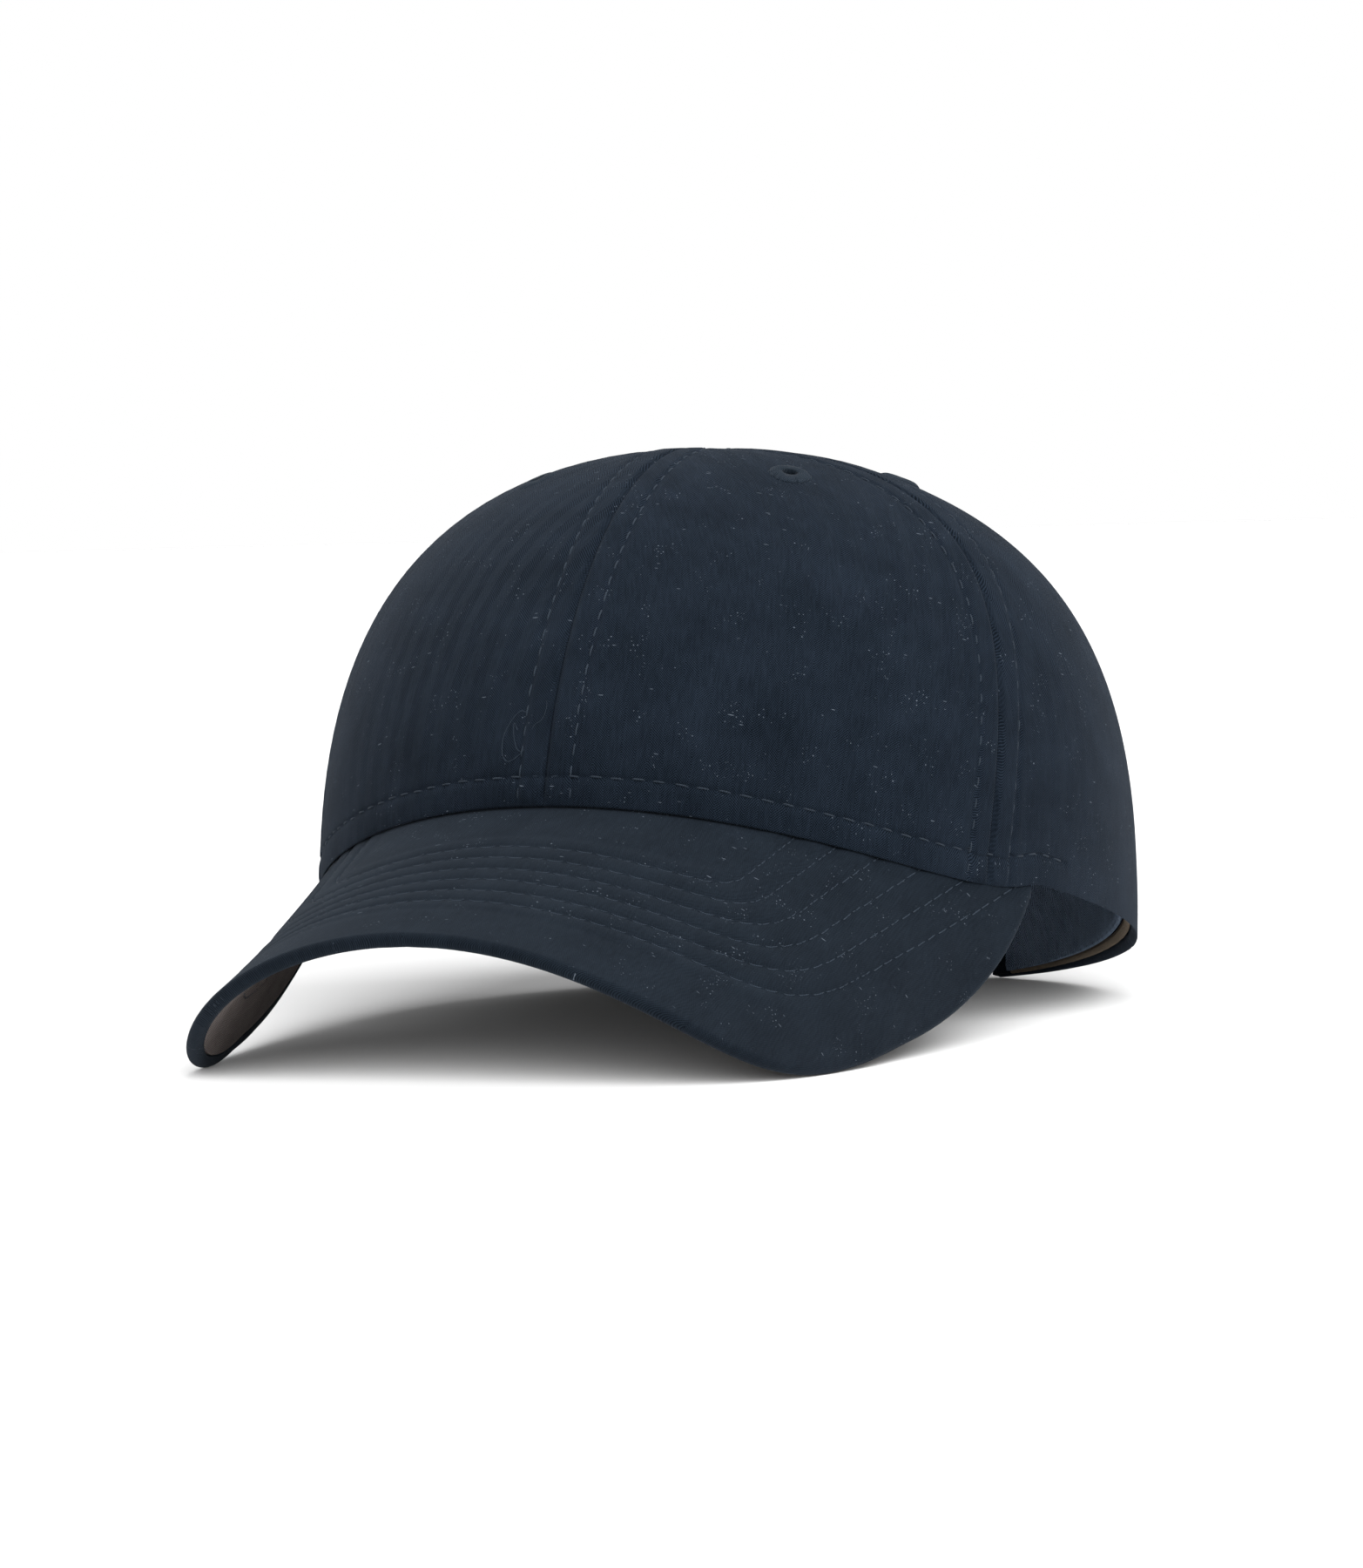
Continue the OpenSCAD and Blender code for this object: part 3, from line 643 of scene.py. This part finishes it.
SEAMS = {"front": (always(0.0), front_seam), "side": (front_seam, always(BACK_SEAM)),
         "back": (always(BACK_SEAM), always(180.0))}
for n, (part, (seam_a, seam_b)) in enumerate(SEAMS.items()):
    for side, word in ((1, "left"), (-1, "right")):
        panel(f"{part}_panel_{word}", side, seam_a, seam_b, EYELETS[part], 3 + 2 * n + (side < 0),
              arch=part == "back")
        eyelet(f"eyelet_{part}_{word}", side * EYELETS[part], 40 + 2 * n + (side < 0))


def row_width(part, ph):
    a, b = (s(ph) for s in SEAMS[part])
    f = np.linspace(0, 1, 25)[:, None]
    return along(crown_pt(a + (b - a) * f, ph, 0))[-1]


def seam_row(seam, part, toward, side, low_h, high_ph, d=0.0, off=STITCH_OFF, shrink=True):
    """Stitch path beside a seam: toward is +1 on the side of growing angle."""
    ph = np.linspace(0, 1, 300) ** 1.7 * high_ph
    th = seam(ph)
    g = np.clip(row_width(part, ph) / 22, 0.04, 1) if shrink else 1
    per_degree = np.linalg.norm(crown_pt(th + 0.5, ph, 0) - crown_pt(th - 0.5, ph, 0), axis=-1)
    th = th + toward * off * g / per_degree
    height = crown_pt(th, ph, 0)[..., 2] - hem_z(th, 0)
    keep = height >= low_h
    relief = seam_relief(off * g, g) if d == 0 else 0
    p = crown_pt(side * th, ph, d - relief)
    n = crown_normal(side * th, ph) * (1 if d == 0 else -1)
    return p[keep], n[keep]


runs = []
arch_clear = ARCH_H + 5.5
for side in (1, -1):
    runs.append(seam_row(SEAMS["front"][0], "front", 1, side, 0.8, 87.5))
    runs.append(seam_row(front_seam, "front", -1, side, 0.8, 87))
    runs.append(seam_row(front_seam, "side", 1, side, 0.8, 87))
    runs.append(seam_row(always(BACK_SEAM), "side", -1, side, 1.5, 87))
    runs.append(seam_row(always(BACK_SEAM), "back", 1, side, 1.5, 87))
    runs.append(seam_row(always(180.0), "back", -1, side, arch_clear, 87.5))
thread("crown_seam_stitches", runs, THREAD, "crown", 11)

th = np.linspace(-HEM_ROW_END, HEM_ROW_END, 900)
ph = rise_at(th, HEM_ROW, 0)
thread("hem_stitches", [(crown_pt(th, ph, 0.24), crown_normal(th, ph))], THREAD, "crown", 12)

# ---------------------------------------------------------------- inside the crown
for side, word in ((1, "left"), (-1, "right")):
    rows = np.linspace(LINING_LOW, BUCKRAM_TOP, 60)[:, None]
    f = np.linspace(0, 1, 50)
    th = 1 + (front_seam(rows) - 4) * f
    ripple = 0.06 * np.sin(th * 0.9 + rows * 0.5)
    outer = crown_pt(side * th, rows, BUCKRAM_D + ripple)
    inner = crown_pt(side * th, rows, BUCKRAM_D + BUCKRAM_T)
    uv = np.stack([along(np.swapaxes(outer, 0, 1)).T, along(outer)], -1)
    shell(f"buckram_{word}_mesh", outer, inner, uv, BUCKRAM, "crown", "buckram", nodes=[f"buckram_{word}"])


def tape(name, th, ph, half):
    """Woven tape along a line; th, ph and half are one value for each row."""
    f = np.linspace(-1, 1, 13)
    soft = 0.12 * np.abs(f) ** 6
    angle = th[:, None] + half[:, None] * f
    outer = crown_pt(angle, ph[:, None], TAPE_D + soft)
    inner = crown_pt(angle, ph[:, None], TAPE_D + TAPE_T - soft)
    uv = np.stack([TAPE_W / 2 * f + 0 * angle, along(outer)], -1)
    shell(name + "_weave", outer, inner, uv, TAPE, "crown", "tape", nodes=[name])


def tape_half(ph):
    """Half a tape's width as an angle round the crown."""
    return np.degrees(TAPE_W / 2 / (HALF_W * cosd(ph)))


tape_runs = []
for side, word in ((1, "left"), (-1, "right")):
    for seam, place_name in ((front_seam, "front"), (always(BACK_SEAM), "back")):
        ph = np.linspace(LINING_LOW, TAPE_TOP, 90)
        tape(f"{place_name}_seam_tape_{word}", side * seam(ph), ph, tape_half(ph))
        for toward in (1, -1):
            tape_runs.append(seam_row(seam, "side", toward, side, BAND_H - 4, TAPE_TOP - 1,
                                      d=TAPE_D + TAPE_T, off=4.9, shrink=False))
front_ph = np.linspace(LINING_LOW, APEX, 80)
back_ph = np.linspace(APEX, float(rise_at(180.0, ARCH_H + 2, TAPE_D)), 50)


def centre_tape():
    """The tape over the top, from the front hem to the rear arch, and its two stitch paths."""
    f = np.linspace(-1, 1, 13)
    soft = 0.12 * np.abs(f) ** 6

    def rows(d):
        front = crown_pt(tape_half(front_ph)[:, None] * f, front_ph[:, None], d)
        back = crown_pt(180 - tape_half(back_ph)[:, None] * f, back_ph[:, None], d)
        k = np.linspace(0, 1, 14)[1:-1, None, None]
        top = front[-1] * (1 - k) + back[0] * k
        top[..., 2] += 0.5 * (1 - (2 * k[..., 0] - 1) ** 2)
        return np.concatenate([front, top, back])

    outer, inner = rows(TAPE_D + soft), rows(TAPE_D + TAPE_T - soft)
    uv = np.stack([TAPE_W / 2 * f + 0 * outer[..., 0], along(outer)], -1)
    shell("centre_seam_tape_weave", outer, inner, uv, TAPE, "crown", "tape", nodes=["centre_seam_tape"])
    for j in (2, -3):
        line = inner[:, j]
        keep = (line[:, 1] > 0) | (line[:, 2] > 50)
        down = unit(np.gradient(inner, axis=1)[:, j])
        ahead = unit(np.gradient(line, axis=0))
        tape_runs.append((line[keep], -unit(np.cross(ahead, down))[keep]))


centre_tape()
thread("tape_stitches", tape_runs, THREAD, "crown", 13)

# ---------------------------------------------------------------- sweatband and its piping
BAND_TH = float(hem_th(ARCH_HALF + BINDING_LIP + 0.6))
BAND_ROW = BAND_H - 3.4       # height of the stitches that hold the sweatband
cols = np.linspace(-BAND_TH, BAND_TH, 420)
heights = np.concatenate([[0.45, 0.55, 0.8, 1.2], np.linspace(1.8, BAND_H - 2, 30),
                          BAND_H - 2 + np.array([0.6, 1.1, 1.5, 1.8, 2.0])])[:, None]
edge = (smooth((heights - BAND_H + 1.2) / 1.2) + 1 - smooth((heights - 0.4) / 0.8)) * 0.35
pull = 0.16 * (1 + np.sin(cols * 0.21 + 1.1) * np.sin(cols * 0.057)) * smooth(heights / BAND_H)
pull = pull + 0.2 * bell(heights - BAND_ROW, 0.5)
outer = wall_pt(cols, heights, BAND_D + edge)
inner = wall_pt(cols, heights, BAND_D + BAND_T - edge)
inner = inner - pull[..., None] * crown_normal(cols + 0 * heights, rise_at(cols, heights, BAND_D), BAND_D)
uv = np.stack([along(np.swapaxes(outer, 0, 1)).T, along(outer)], -1)
shell("sweatband_cloth", outer, inner, uv, BAND_CLOTH, "crown", "sweatband", nodes=["sweatband"])

a = np.linspace(0, 2 * np.pi, 15)[:-1]
h = 0.95 + 0.85 * np.sin(a)
d = 2.35 + 0.66 * np.cos(a)
cols = np.linspace(-BAND_TH, BAND_TH, 700)[:, None]
rings = wall_pt(cols, h + 0.04 * np.sin(cols * 7.3), d + 0.05 * np.sin(cols * 5.1 + 1))
uv = np.stack([along(rings), np.broadcast_to(a * 0.85, rings.shape[:2])], -1)
loft("sweatband_piping_weave", rings, uv, PIPING, "crown", "piping", nodes=["sweatband_piping"])

th = np.linspace(-BAND_TH + 1, BAND_TH - 1, 1500)
ph = rise_at(th, BAND_ROW, BAND_D + BAND_T)
band_run = (crown_pt(th, ph, BAND_D + BAND_T + 0.05), -crown_normal(th, ph))
thread("sweatband_stitches", [band_run], THREAD, "crown", 14, pitch=3.6, length=2.5, r=0.17)

# ---------------------------------------------------------------- rear arch binding
s = np.linspace(-0.993, 0.993, 260)[:, None]
a = np.radians(np.linspace(-90, -270, 13))
mid, half = PANEL_T / 2, PANEL_T / 2 + BINDING_PROUD
leg = [5.0, 4.9, 4.5, 3.8, 2.9, 2, 1]      # a leg of the fold, from its edge to the arch's outline
q_out = np.concatenate([leg, half * 0.6 * np.cos(a), leg[::-1]])
d_out = np.concatenate([mid - half * np.array([0.42, 0.75, 0.95, 0.86, 0.98, 1, 1]), mid + half * np.sin(a),
                        mid + half * np.array([1, 1, 0.98, 0.86, 0.95, 0.75, 0.42])])
q_in = np.array([5.0, 2, -0.25, -0.25, 2, 5.0])
d_in = mid + (PANEL_T / 2 + 0.12) * np.array([1, 1, 0.8, -0.8, -1, -1])
q, d = np.concatenate([q_out, q_in]), np.concatenate([d_out, d_in])
x, h = arch_pt(s, q)
rings = wall_pt(hem_th(x), h, d + 0.05 * np.sin(s * 190) * (np.abs(d - mid) > 1))
uv = np.stack([along(rings), np.broadcast_to(np.arange(len(q)) * 0.55, rings.shape[:2])], -1)
loft("opening_binding_cloth", rings, uv, STRAP_CLOTH, "crown", "visor_cloth", nodes=["opening_binding"])
s = np.linspace(-0.985, 0.985, 900)
x, h = arch_pt(s, 3.8)
p_out, p_in = wall_pt(hem_th(x), h, mid - half * 0.86), wall_pt(hem_th(x), h, mid + half * 0.86)
n_out = crown_normal(hem_th(x), rise_at(hem_th(x), h, 0))
arch_runs = [(p_out, n_out), (p_in, -n_out)]
# a rectangle of stitches holds each strap's sewn end
TACK_X, TACK_H = (ARCH_HALF + 6.4, ARCH_HALF + 15), (4.5, 23.5)
for side in (1, -1):
    for x0 in TACK_X:
        h = np.linspace(*TACK_H, 60)
        t0 = hem_th(side * x0 + 0 * h)
        arch_runs.append((wall_pt(t0, h, -0.02), crown_normal(t0, rise_at(t0, h, 0))))
    for h0 in TACK_H:
        xs = np.linspace(*TACK_X, 40)
        t0 = hem_th(side * xs)
        arch_runs.append((wall_pt(t0, h0 + 0 * xs, -0.02), crown_normal(t0, rise_at(t0, h0 + 0 * xs, 0))))
thread("rear_arch_stitches", arch_runs, THREAD, "crown", 15, pitch=3.8, length=2.7)

# ---------------------------------------------------------------- visor
ROW_OM, ROW_LEN, ROW_STEP, ROWS = 38, 19, 5.8, 6
T_END = 0.992            # the covers end this close to the ends of the visor's outline
FACE_ROWS = 116          # rows of a cover's face, before its rim


def row_number(om, v):
    """Which stitch row runs through a place of the visor, as a real number."""
    low, high = np.full_like(om, -3.0), np.full_like(om, 12.0)
    for _ in range(26):
        k = (low + high) / 2
        f = (np.abs(om) / (ROW_OM + ROW_STEP * k)) ** SQUARE
        f += (np.maximum(v - WIDE_V, 0) / np.maximum(ROW_LEN + ROW_STEP * k - WIDE_V, 0.01)) ** SQUARE
        low, high = np.where(f > 1, k, low), np.where(f > 1, high, k)
    return low


t = np.linspace(-1, 1, 281)
t = np.sign(t) * T_END * (1 - (1 - np.abs(t)) ** 1.12)
start = np.stack(visor_at(*hem_xy(t * VISOR_END, VISOR_INNER_D)), -1)
stop = np.stack(visor_edge(t), -1)
p1 = visor_pt(stop[:, 0], stop[:, 1])
near = visor_pt(*(start + (stop - start) * 0.98).T)
slant = np.linalg.norm(np.cross(unit(p1 - near), unit(np.gradient(p1, axis=0))), axis=-1)
per_w = np.linalg.norm(p1 - near, axis=-1) / 0.02 * np.clip(slant, 0.3, 1)


def visor_grid(q, depth, groove=0.0):
    """Rows from the crown to the rim, then rows q mm inside the outline, each at its depth."""
    w = np.array([x * (1 - RIM / per_w) for x in np.linspace(0, 1, FACE_ROWS)] + [1 - x / per_w for x in q])
    om = start[:, 0] + (stop[:, 0] - start[:, 0]) * w
    v = start[:, 1] + (stop[:, 1] - start[:, 1]) * w
    d = np.array([depth[0]] * FACE_ROWS + list(depth))[:, None] + 0 * w
    k = row_number(om, v)
    off = (k - np.clip(np.round(k), 0, ROWS - 1)) * ROW_STEP * 1.08
    inside = bell(np.maximum(np.abs(k - 2.5) - 3, 0), 0.6)
    puff = 0.09 * np.cos(2 * np.pi * k) * inside
    d = d + groove * (0.26 * bell(off, 0.6) + puff)
    d = d - LIFT * w * w * np.minimum(1, 4 * (1 - np.abs(t)))
    uv = np.stack([np.radians(om) * VISOR_HALF * (1 - TAPER * v / 1e4), v], -1)
    return visor_pt(om, v) - visor_normal(om, v) * d[..., None], uv, k, w


def stitch_rows(grid, k, sign, sink):
    """Where each whole row number falls on the columns of the grid's face."""
    n = unit(np.cross(np.gradient(grid, axis=0), np.gradient(grid, axis=1))) * sign
    out = []
    for row in range(ROWS):
        pts, nrm = [], []
        for j in range(grid.shape[1]):
            col = k[:FACE_ROWS, j]
            if col[3] < row < col[-1]:
                i = int(np.argmax(col > row))
                f = (row - col[i - 1]) / (col[i] - col[i - 1])
                pts.append(grid[i - 1, j] * (1 - f) + grid[i, j] * f)
                nrm.append(n[i, j])
        out.append((np.array(pts) - sink * np.array(nrm), np.array(nrm)))
    return out


RIM = 3.2                # the covers' faces end this far inside the outline
RIM_R = VISOR_T / 2      # the cloth is rolled round the rim with this radius
bend = np.radians(np.linspace(90, -90, 17))
wrap_q = [2.8, 2.3] + list(RIM_R - RIM_R * np.cos(bend)) + [2.2, 2.45, 2.6]
wrap_d = [0, 0] + list(RIM_R - RIM_R * np.sin(bend)) + [VISOR_T, VISOR_T - 0.03, VISOR_T - 0.2]
lay_r = RIM_R - COVER_T * 0.8
lay_q = [2.8, 2.3] + list(RIM_R - lay_r * np.cos(bend)) + [2.2, 2.45, 2.6]
lay_d = [COVER_T, COVER_T] + list(RIM_R - lay_r * np.sin(bend)) + [VISOR_T - 0.6] * 3
top, uv, k, w = visor_grid(wrap_q, wrap_d, groove=1.0)
low, _, _, _ = visor_grid(lay_q, lay_d)
sway = 0.14 * np.sin(uv[..., 0] * 0.07 + 1) * np.sin(uv[..., 1] * 0.09) * smooth(w * 4)
top[..., 2] += sway
shell("visor_top_cloth", top, low, uv, VISOR_CLOTH, "crown", "visor_cloth",
      nodes=["visor_top_cover"], merge=0.02)
thread("visor_stitches", stitch_rows(top, k, -1, 0.0), THREAD, "crown", 16, pitch=4.2, length=3.2, r=0.16)
under_q = [3.05, 2.95, 2.85, 2.75]
bottom, uv, k, _ = visor_grid(under_q, [VISOR_T, VISOR_T - 0.05, VISOR_T - 0.18, VISOR_T - 0.4], groove=-1.0)
lid, _, _, _ = visor_grid(under_q, [UNDER_D] * 4)
shell("visor_underside_cloth", bottom, lid, uv + 300, UNDER_CLOTH_PAINTED_WARM_LIGHT, "crown", "visor_cloth",
      nodes=["visor_underside_cover"], merge=0.02)
thread("visor_underside_stitches", stitch_rows(bottom, k, 1, 0.0), THREAD, "crown", 17, pitch=4.2, length=3.2,
       r=0.16)
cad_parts["visor_board"].data.materials.clear()
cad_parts["visor_board"].data.materials.append(BOARD)


# ---------------------------------------------------------------- straps and their pads
def strap(name, side, body, end_x, deep, nodes, seed):
    """One strip of cloth from its sewn end inside the back panel to its free end."""
    corner_r = 7
    x = np.concatenate([ARCH_HALF + np.linspace(18, 2, 14), ARCH_HALF + np.linspace(1, -6, 26),
                        np.linspace(ARCH_HALF - 7, end_x + corner_r, 60),
                        end_x + corner_r * (1 - sind(np.linspace(0, 90, 16))[1:])])
    into = np.clip((end_x + corner_r - x) / corner_r, 0, 1)
    cut = corner_r * (1 - np.sqrt(np.maximum(1 - into**2, 0)))
    f = np.array([0, 0.006, 0.02, 0.045, 0.08, 0.1, 0.12, 0.2, 0.3, 0.4, 0.5, 0.6, 0.7, 0.8, 0.88, 0.9, 0.92,
                  0.955, 0.98, 0.994, 1])[:, None]
    low, high = STRAP_LOW + cut, STRAP_LOW + STRAP_H - cut
    h = low + (high - low) * f
    free = smooth((ARCH_HALF + 1.2 - x) / 4.2)
    top_d = BASE_D + (deep - BASE_D) * free
    thick = BASE_T + (STRAP_T - BASE_T) * free
    rim = np.minimum(f, 1 - f) * STRAP_H
    fall = (1 - np.sqrt(np.clip(rim / 0.7, 0, 1) * (2 - np.clip(rim / 0.7, 0, 1)))) * 0.45 * thick
    tip = np.clip((x - end_x) / 0.7, 0, 1)
    fall = np.maximum(fall, (1 - np.sqrt(tip * (2 - tip))) * 0.45 * thick)
    groove = 0.12 * bell(rim - 2.2, 0.4) * free
    th = hem_th(side * x) + 0 * f

    def surface(d):
        k = free[None, :, None]
        return wall_pt(th, h, d) * (1 - k) + strap_pt(th, h, d) * k

    outer, inner = surface(top_d + fall + groove), surface(top_d + thick - fall - groove)
    uv = np.stack([along(np.swapaxes(outer, 0, 1)).T + 90 * seed, h], -1)
    obj = shell(name, outer, inner, uv, STRAP_CLOTH, None, "strap_cloth", nodes=nodes)
    mid_h, mid_d = np.array(STRAP_LOW + STRAP_H / 2), deep + STRAP_T / 2
    hinge = [Vector(place(strap_pt(hem_th(np.array(side * q)), mid_h, mid_d)))
             for q in (KNUCKLE_X + 1.6, KNUCKLE_X - 1.6)]
    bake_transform(obj)
    runs = []
    for h0 in (STRAP_LOW + 2.2, STRAP_LOW + STRAP_H - 2.2):
        xs = np.linspace(KNUCKLE_X - 2.9, end_x + 4, 160)
        t0 = hem_th(side * xs)
        p, q = strap_pt(t0, h0 + 0 * xs, deep + 0.12), strap_pt(t0, h0 + 0 * xs, deep + STRAP_T - 0.12)
        n = crown_normal(t0, rise_at(t0, h0 + 0 * xs, 0))
        runs += [(p, n), (q, -n)]
    hs = np.linspace(STRAP_LOW + 4.2, STRAP_LOW + STRAP_H - 4.2, 40)
    t0 = hem_th(side * (end_x + 2.4) + 0 * hs)
    n = crown_normal(t0, rise_at(t0, hs, 0))
    runs.append((strap_pt(t0, hs, deep - 0.02 + 0 * hs), n))
    thread(name.replace("_cloth", "_stitches"), runs, THREAD, body, seed, pitch=3.4, length=2.4, r=0.17)


strap("hook_strap_cloth", 1, "hook_strap", -19, HOOK_D, ["hook_strap", "hook_strap_base"], 21)
strap("loop_strap_cloth", -1, "loop_strap", -17, LOOP_D, ["loop_strap", "loop_strap_base"], 22)


def pad(name, body, x_a, x_b, base_d, tip_d, hooked, node, mat, slot):
    """Pad of tiny hooks or loops on its woven base; tip_d is the depth of the napped face."""
    rng = np.random.default_rng(31)
    x = np.linspace(x_a, x_b, 190)
    h = np.linspace(STRAP_LOW + PAD_INSET, STRAP_LOW + STRAP_H - PAD_INSET, 96)[:, None]
    if hooked:
        nap = np.abs(np.sin(x * 2.1) * np.sin(h * 2.1)) ** 2.5
    else:
        nap = sum(np.sin(x * rng.uniform(2, 7) + h * rng.uniform(-7, 7) + rng.uniform(0, 6))
                  for _ in range(9))
        nap = np.clip(0.5 + nap / 7, 0, 1)
    inset = np.minimum(np.minimum(x_a - x, x - x_b) + 0 * h, np.minimum(h - h[0], h[-1] - h) + 0 * x)
    nap = nap * smooth(inset / 0.8)
    floor_d = tip_d + (base_d - tip_d) * 0.55
    th = hem_th(x) + 0 * h
    front, back = (strap_pt(th, h + 0 * x, d + 0 * th)
                   for d in (floor_d + (tip_d - floor_d) * nap, base_d))
    uv = np.stack([x + 0 * h, h + 0 * x], -1)
    shell(name, front, back, uv, mat, body, slot, nodes=[node], sharp=180)


hook_face = HOOK_D + STRAP_T + GLUE * 0.5
pad("hook_pad_hooks", "hook_strap", 12, -16, hook_face, hook_face + PAD_T, True, "hook_pad", HOOKS,
    "hook_tape")
pad("loop_pad_loops", "loop_strap", 15, -17, LOOP_D - GLUE * 0.5, LOOP_D - GLUE - PAD_T, False, "loop_pad",
    LOOPS, "loop_tape")

# ---------------------------------------------------------------- loose fibres on the front


def on_front(x, h, lift):
    """Place on the front of the crown, lift mm clear of the cloth."""
    th = np.degrees(np.arcsin(np.asarray(x, float) / HALF_W))
    return wall_pt(th, np.asarray(h, float), -np.asarray(lift, float))


strands = [
    fibre(on_front([-5.2, -6.6, -8.6, -10.0, -10.3, -9.0, -7.4, -6.2],
                   [12.4, 11.0, 10.2, 12.0, 15.6, 19.0, 20.6, 20.0],
                   [0.1, 0.6, 0.9, 1.1, 1.2, 1.0, 0.8, 0.2]), 0.07),
    fibre(on_front([-5.8, -7.0, -8.0, -8.4, -7.4], [11.6, 12.6, 15.4, 18.2, 16.6],
                   [0.1, 0.5, 0.8, 0.9, 0.7]), 0.06),
    fibre(on_front([-2.2, -1.4, -2.0, -3.6, -4.6], [23.5, 21.0, 18.6, 17.4, 15.2],
                   [0.1, 0.5, 0.6, 0.5, 0.1]), 0.05),
]
verts = np.concatenate([q.reshape(-1, 3) for q in strands])
faces, base = [], 0
for q in strands:
    k, m = q.shape[:2]
    i = np.arange(k * m).reshape(k, m) + base
    quads = np.stack([i[:-1], np.roll(i[:-1], -1, 1), np.roll(i[1:], -1, 1), i[1:]], -1)
    faces += quads.reshape(-1, 4).tolist()
    faces += [i[0, ::-1].tolist(), i[-1].tolist()]
    base += k * m
build("loose_thread_ends", verts, faces, np.stack([verts[:, 0] * 3, verts[:, 2] * 3], -1), THREAD,
      "crown", "thread")

# ---------------------------------------------------------------- floor, light, camera
floor_mesh = bpy.data.meshes.new("floor")
floor_mesh.from_pydata([(-6, -6, 0), (6, -6, 0), (6, 8, 0), (-6, 8, 0)], [], [(0, 1, 2, 3)])
floor = bpy.data.objects.new("floor", floor_mesh)
bpy.context.scene.collection.objects.link(floor)
paper = bpy.data.materials.new("white_paper")
paper.use_nodes = True
shader = paper.node_tree.nodes["Principled BSDF"]
shader.inputs["Base Color"].default_value = (0.25, 0.25, 0.25, 1)
shader.inputs["Roughness"].default_value = 1
shader.inputs["Specular IOR Level"].default_value = 0
floor_mesh.materials.append(paper)

scene = bpy.context.scene
world = bpy.data.worlds.new("studio")
world.use_nodes = True
world.node_tree.nodes["Background"].inputs[0].default_value = (1, 1, 1, 1)
world.node_tree.nodes["Background"].inputs[1].default_value = 1.0
scene.world = world
scene.view_settings.view_transform = "Standard"


def softbox(name, where, size, watts):
    data = bpy.data.lights.new(name, "AREA")
    data.shape, data.size, data.energy = "DISK", size, watts
    lamp = bpy.data.objects.new(name, data)
    scene.collection.objects.link(lamp)
    lamp.location = where
    lamp.rotation_euler = (Vector((0, 0, 0.06)) - Vector(where)).to_track_quat("-Z", "Y").to_euler()
    return lamp


softbox("key", (1.5, -0.6, 1.4), 1.1, 26)
softbox("top", (0.0, 0.2, 2.2), 1.4, 22)
# this light reaches the floor alone, so that the shadow fades towards the camera
floor_only = bpy.data.collections.new("floor_only")
floor_only.objects.link(floor)
data = bpy.data.lights.new("floor_key", "SUN")
data.energy, data.angle = 31, math.radians(56)
floor_key = bpy.data.objects.new("floor_key", data)
scene.collection.objects.link(floor_key)
floor_key.rotation_euler = Vector((0.46, -0.80, 0.35)).to_track_quat("Z", "Y").to_euler()
floor_key.light_linking.receiver_collection = floor_only

AZ, EL, ROLL, DIST = 23.682, 3.007, -1.786, 1.3375
target = Vector((-0.00847, 0.02559, 0.05131))
back = Vector((sind(AZ) * cosd(EL), -cosd(AZ) * cosd(EL), sind(EL)))
flat_right = Vector((cosd(AZ), sind(AZ), 0))
flat_up = back.cross(flat_right)
right = flat_right * cosd(ROLL) + flat_up * sind(ROLL)
up = back.cross(right)
data = bpy.data.cameras.new("camera")
data.sensor_fit, data.sensor_width, data.lens = "AUTO", 36, 140.9
camera = bpy.data.objects.new("camera", data)
scene.collection.objects.link(camera)
turn = Matrix((right, up, back)).transposed().to_4x4()
camera.matrix_world = Matrix.Translation(target + back * DIST) @ turn
scene.camera = camera
